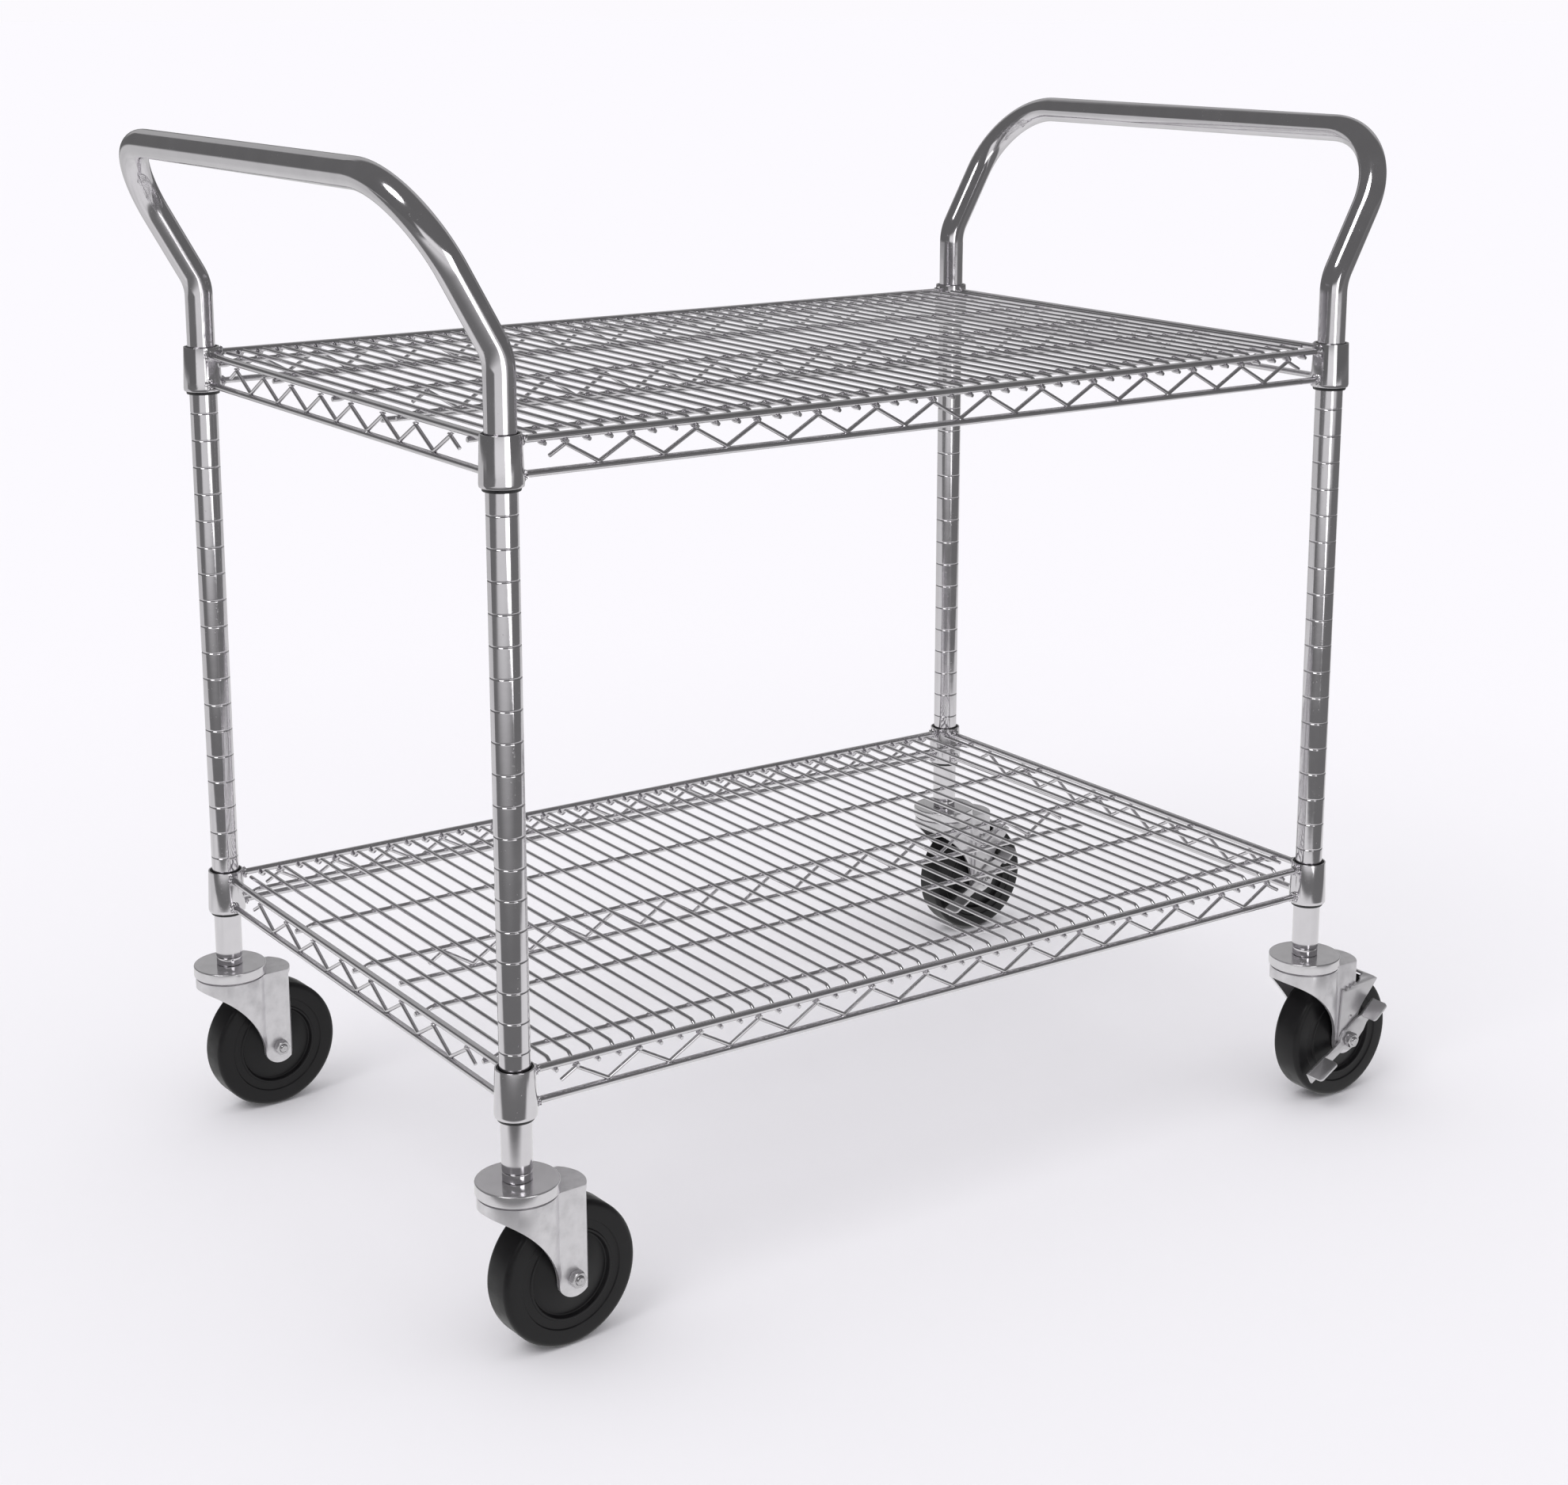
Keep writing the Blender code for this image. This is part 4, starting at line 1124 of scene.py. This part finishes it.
def mixed(tree, factor, first, second):
    """One colour or the other. A Mix node keeps them in its sockets 6 and 7, and the result in 2."""
    node = tree.nodes.new("ShaderNodeMix")
    node.data_type = "RGBA"
    tree.links.new(factor, node.inputs["Factor"])
    for socket, value in zip(node.inputs[6:8], (first, second)):
        if isinstance(value, tuple):
            socket.default_value = value
        else:
            tree.links.new(value, socket)
    return node.outputs[2]


def add_world():
    """White to the camera, even light on the floor, and in the chrome a dim room with patches of light."""
    world = bpy.data.worlds.new("studio")
    bpy.context.scene.world = world
    world.use_nodes = True
    tree = world.node_tree
    background = tree.nodes["Background"]
    place = tree.nodes.new("ShaderNodeTexCoord")
    split = tree.nodes.new("ShaderNodeSeparateXYZ")
    tree.links.new(place.outputs["Generated"], split.inputs["Vector"])
    x, y, z = (split.outputs[name] for name in "XYZ")
    turn = maths(tree, "ARCTAN2", x, y)
    azimuth = maths(tree, "MODULO", maths(tree, "ADD", turn, 2 * math.pi), 2 * math.pi)
    azimuth = maths(tree, "MULTIPLY", azimuth, 180 / math.pi)
    elevation = maths(tree, "MULTIPLY", maths(tree, "ARCSINE", z), 180 / math.pi)
    room = ROOM
    for where, amount in PATCHES:
        room = maths(tree, "ADD", room, patch(tree, azimuth, elevation, where, amount))
    path = tree.nodes.new("ShaderNodeLightPath")
    lit = mixed(tree, path.outputs["Is Glossy Ray"], (FILL, FILL, FILL * 1.01, 1), room)
    seen = mixed(tree, path.outputs["Is Camera Ray"], lit, (*WHITE, 1))
    tree.links.new(seen, background.inputs["Color"])


def reach(tree, most):
    """How far from the cart's middle, as a part of most."""
    place = tree.nodes.new("ShaderNodeTexCoord")
    length = tree.nodes.new("ShaderNodeVectorMath")
    length.operation = "LENGTH"
    tree.links.new(place.outputs["Object"], length.inputs[0])
    return maths(tree, "DIVIDE", length.outputs["Value"], most)


def along(tree, azimuth):
    """How far a point of the floor lies from the cart's middle towards an azimuth."""
    place = tree.nodes.new("ShaderNodeTexCoord")
    dot = tree.nodes.new("ShaderNodeVectorMath")
    dot.operation = "DOT_PRODUCT"
    tree.links.new(place.outputs["Object"], dot.inputs[0])
    dot.inputs[1].default_value = (math.sin(azimuth), math.cos(azimuth), 0)
    return dot.outputs["Value"]


def floor_material():
    """Pale paper with painted shade under the cart: a little darker there than further out."""
    made, tree, shader = new_material("paper_floor")
    shader.inputs["Roughness"].default_value = 1.0
    shader.inputs["Specular IOR Level"].default_value = 0.0
    light = FILL + KEY_STRENGTH * math.cos(KEY_TILT) / math.pi
    far = tuple(c / light for c in WHITE)
    # Painted shadow of the cart: near its middle the paper is this much darker than the even white further
    # out.
    painted_shade_tone = 0.975
    near = tuple(c * painted_shade_tone for c in far)
    # Noise breaks up the edge of the painted shadow, and the ramp fades it out to the even paper colour.
    cloud = maths(tree, "MULTIPLY", add_noise(tree, 1.6, 3), 0.16)
    spread = maths(tree, "ADD", reach(tree, 3.0), maths(tree, "SUBTRACT", cloud, 0.08))
    tree.links.new(ramp(tree, spread, [(0.25, near), (0.62, far)]), shader.inputs["Base Color"])
    return made


def emitting_material(name, strength):
    made, tree, shader = new_material(name)
    shader.inputs["Base Color"].default_value = (0, 0, 0, 1)
    shader.inputs["Specular IOR Level"].default_value = 0.0
    shader.inputs["Emission Strength"].default_value = strength
    return made, tree, shader


def mirrored_material():
    """The floor as the chrome sees it: lit paper that ends in front of the cart, and a dark room beyond."""
    made, tree, shader = emitting_material("mirrored_floor", 1.0)
    front = along(tree, PAPER_AZIMUTH)
    side = along(tree, PAPER_SIDE_AZIMUTH)
    near_part = remap(tree, front, PAPER_FRONT - 0.09, PAPER_FRONT + 0.09, 1, 0)
    side_part = remap(tree, side, PAPER_SIDE - 0.1, PAPER_SIDE + 0.1, 1, 0)
    paper = maths(tree, "MULTIPLY", near_part, side_part)
    mottled = maths(tree, "ADD", reach(tree, 3.0), add_noise(tree, 2.2, 3))
    level = remap(tree, mottled, 0.6, 1.5, 0.80, 0.58)
    lit = maths(tree, "MULTIPLY", paper, maths(tree, "SUBTRACT", level, DARK_FLOOR))
    beside = remap(tree, along(tree, PAPER_AZIMUTH + math.pi / 2), 1.5, 2.2, 1, 0)
    beyond = maths(tree, "MULTIPLY", beside, remap(tree, front, 1.3, 3.3, 0, 0.55))
    total = maths(tree, "ADD", maths(tree, "ADD", lit, beyond), DARK_FLOOR)
    tree.links.new(total, shader.inputs["Emission Color"])
    return made


def softbox_material():
    """A softbox's cloth, glowing a little unevenly."""
    made, tree, shader = emitting_material("softbox", SOFTBOX_STRENGTH)
    folds = remap(tree, add_noise(tree, 2.5, 2), 0.3, 0.7, 0.85, 1.0)
    tree.links.new(folds, shader.inputs["Emission Color"])
    return made


def add_stage(name, points, material, mirrored):
    """A flat piece of the studio, seen either by the chrome alone or by everything but the chrome."""
    mesh = bpy.data.meshes.new(name)
    mesh.from_pydata(points, [], [tuple(range(len(points)))])
    mesh.materials.append(material)
    made = loose(name, mesh)
    made.visible_glossy = mirrored
    for kind in ("camera", "diffuse", "shadow", "transmission"):
        setattr(made, f"visible_{kind}", not mirrored)


def add_studio():
    """The floor, the floor that the chrome sees, and a soft light in front of the cart."""
    below = -0.0004
    floor = [(x, y, 0) for x, y in arc(60, 0, 2 * math.pi, 48)[:-1]]
    mirrored = [(x, y, below) for x, y in arc(8, 0, 2 * math.pi, 48)[:-1]]
    add_stage("floor", floor, floor_material(), False)
    add_stage("mirrored_floor", mirrored, mirrored_material(), True)
    (right, left), (low, high) = SOFTBOX
    card = [(*right, low), (*left, low), (*left, high), (*right, high)]
    add_stage("softbox", card, softbox_material(), True)


def add_lights():
    """One big soft key from the left. Sunlight keeps the floor even out to the horizon."""
    data = bpy.data.lights.new("key", "SUN")
    data.energy = KEY_STRENGTH
    data.angle = KEY_ANGLE
    key = bpy.data.objects.new("key", data)
    bpy.context.scene.collection.objects.link(key)
    towards = Vector((
        math.sin(KEY_AZIMUTH) * math.sin(KEY_TILT),
        math.cos(KEY_AZIMUTH) * math.sin(KEY_TILT),
        math.cos(KEY_TILT),
    ))
    key.rotation_euler = towards.to_track_quat("Z", "Y").to_euler()


def add_camera():
    """At the photograph's viewing angle, with a small lens shift that keeps the posts more upright."""
    data = bpy.data.cameras.new("camera")
    data.sensor_width = 36
    data.lens = 61.08
    data.shift_y = -0.125
    data.clip_end = 200
    camera = bpy.data.objects.new("camera", data)
    bpy.context.scene.collection.objects.link(camera)
    camera.location = (-1.3885, -2.0262, 1.0944)
    yaw = math.radians(34.55)
    pitch = math.radians(12.20)
    camera.rotation_euler = (math.pi / 2 - pitch, 0, -yaw)
    bpy.context.scene.camera = camera


bpy.context.scene.view_settings.view_transform = "Standard"
add_camera()
add_world()
add_lights()
add_studio()
finish_cad_nodes()
add_shelves()
add_sleeves()
add_posts_and_handles()
add_casters()
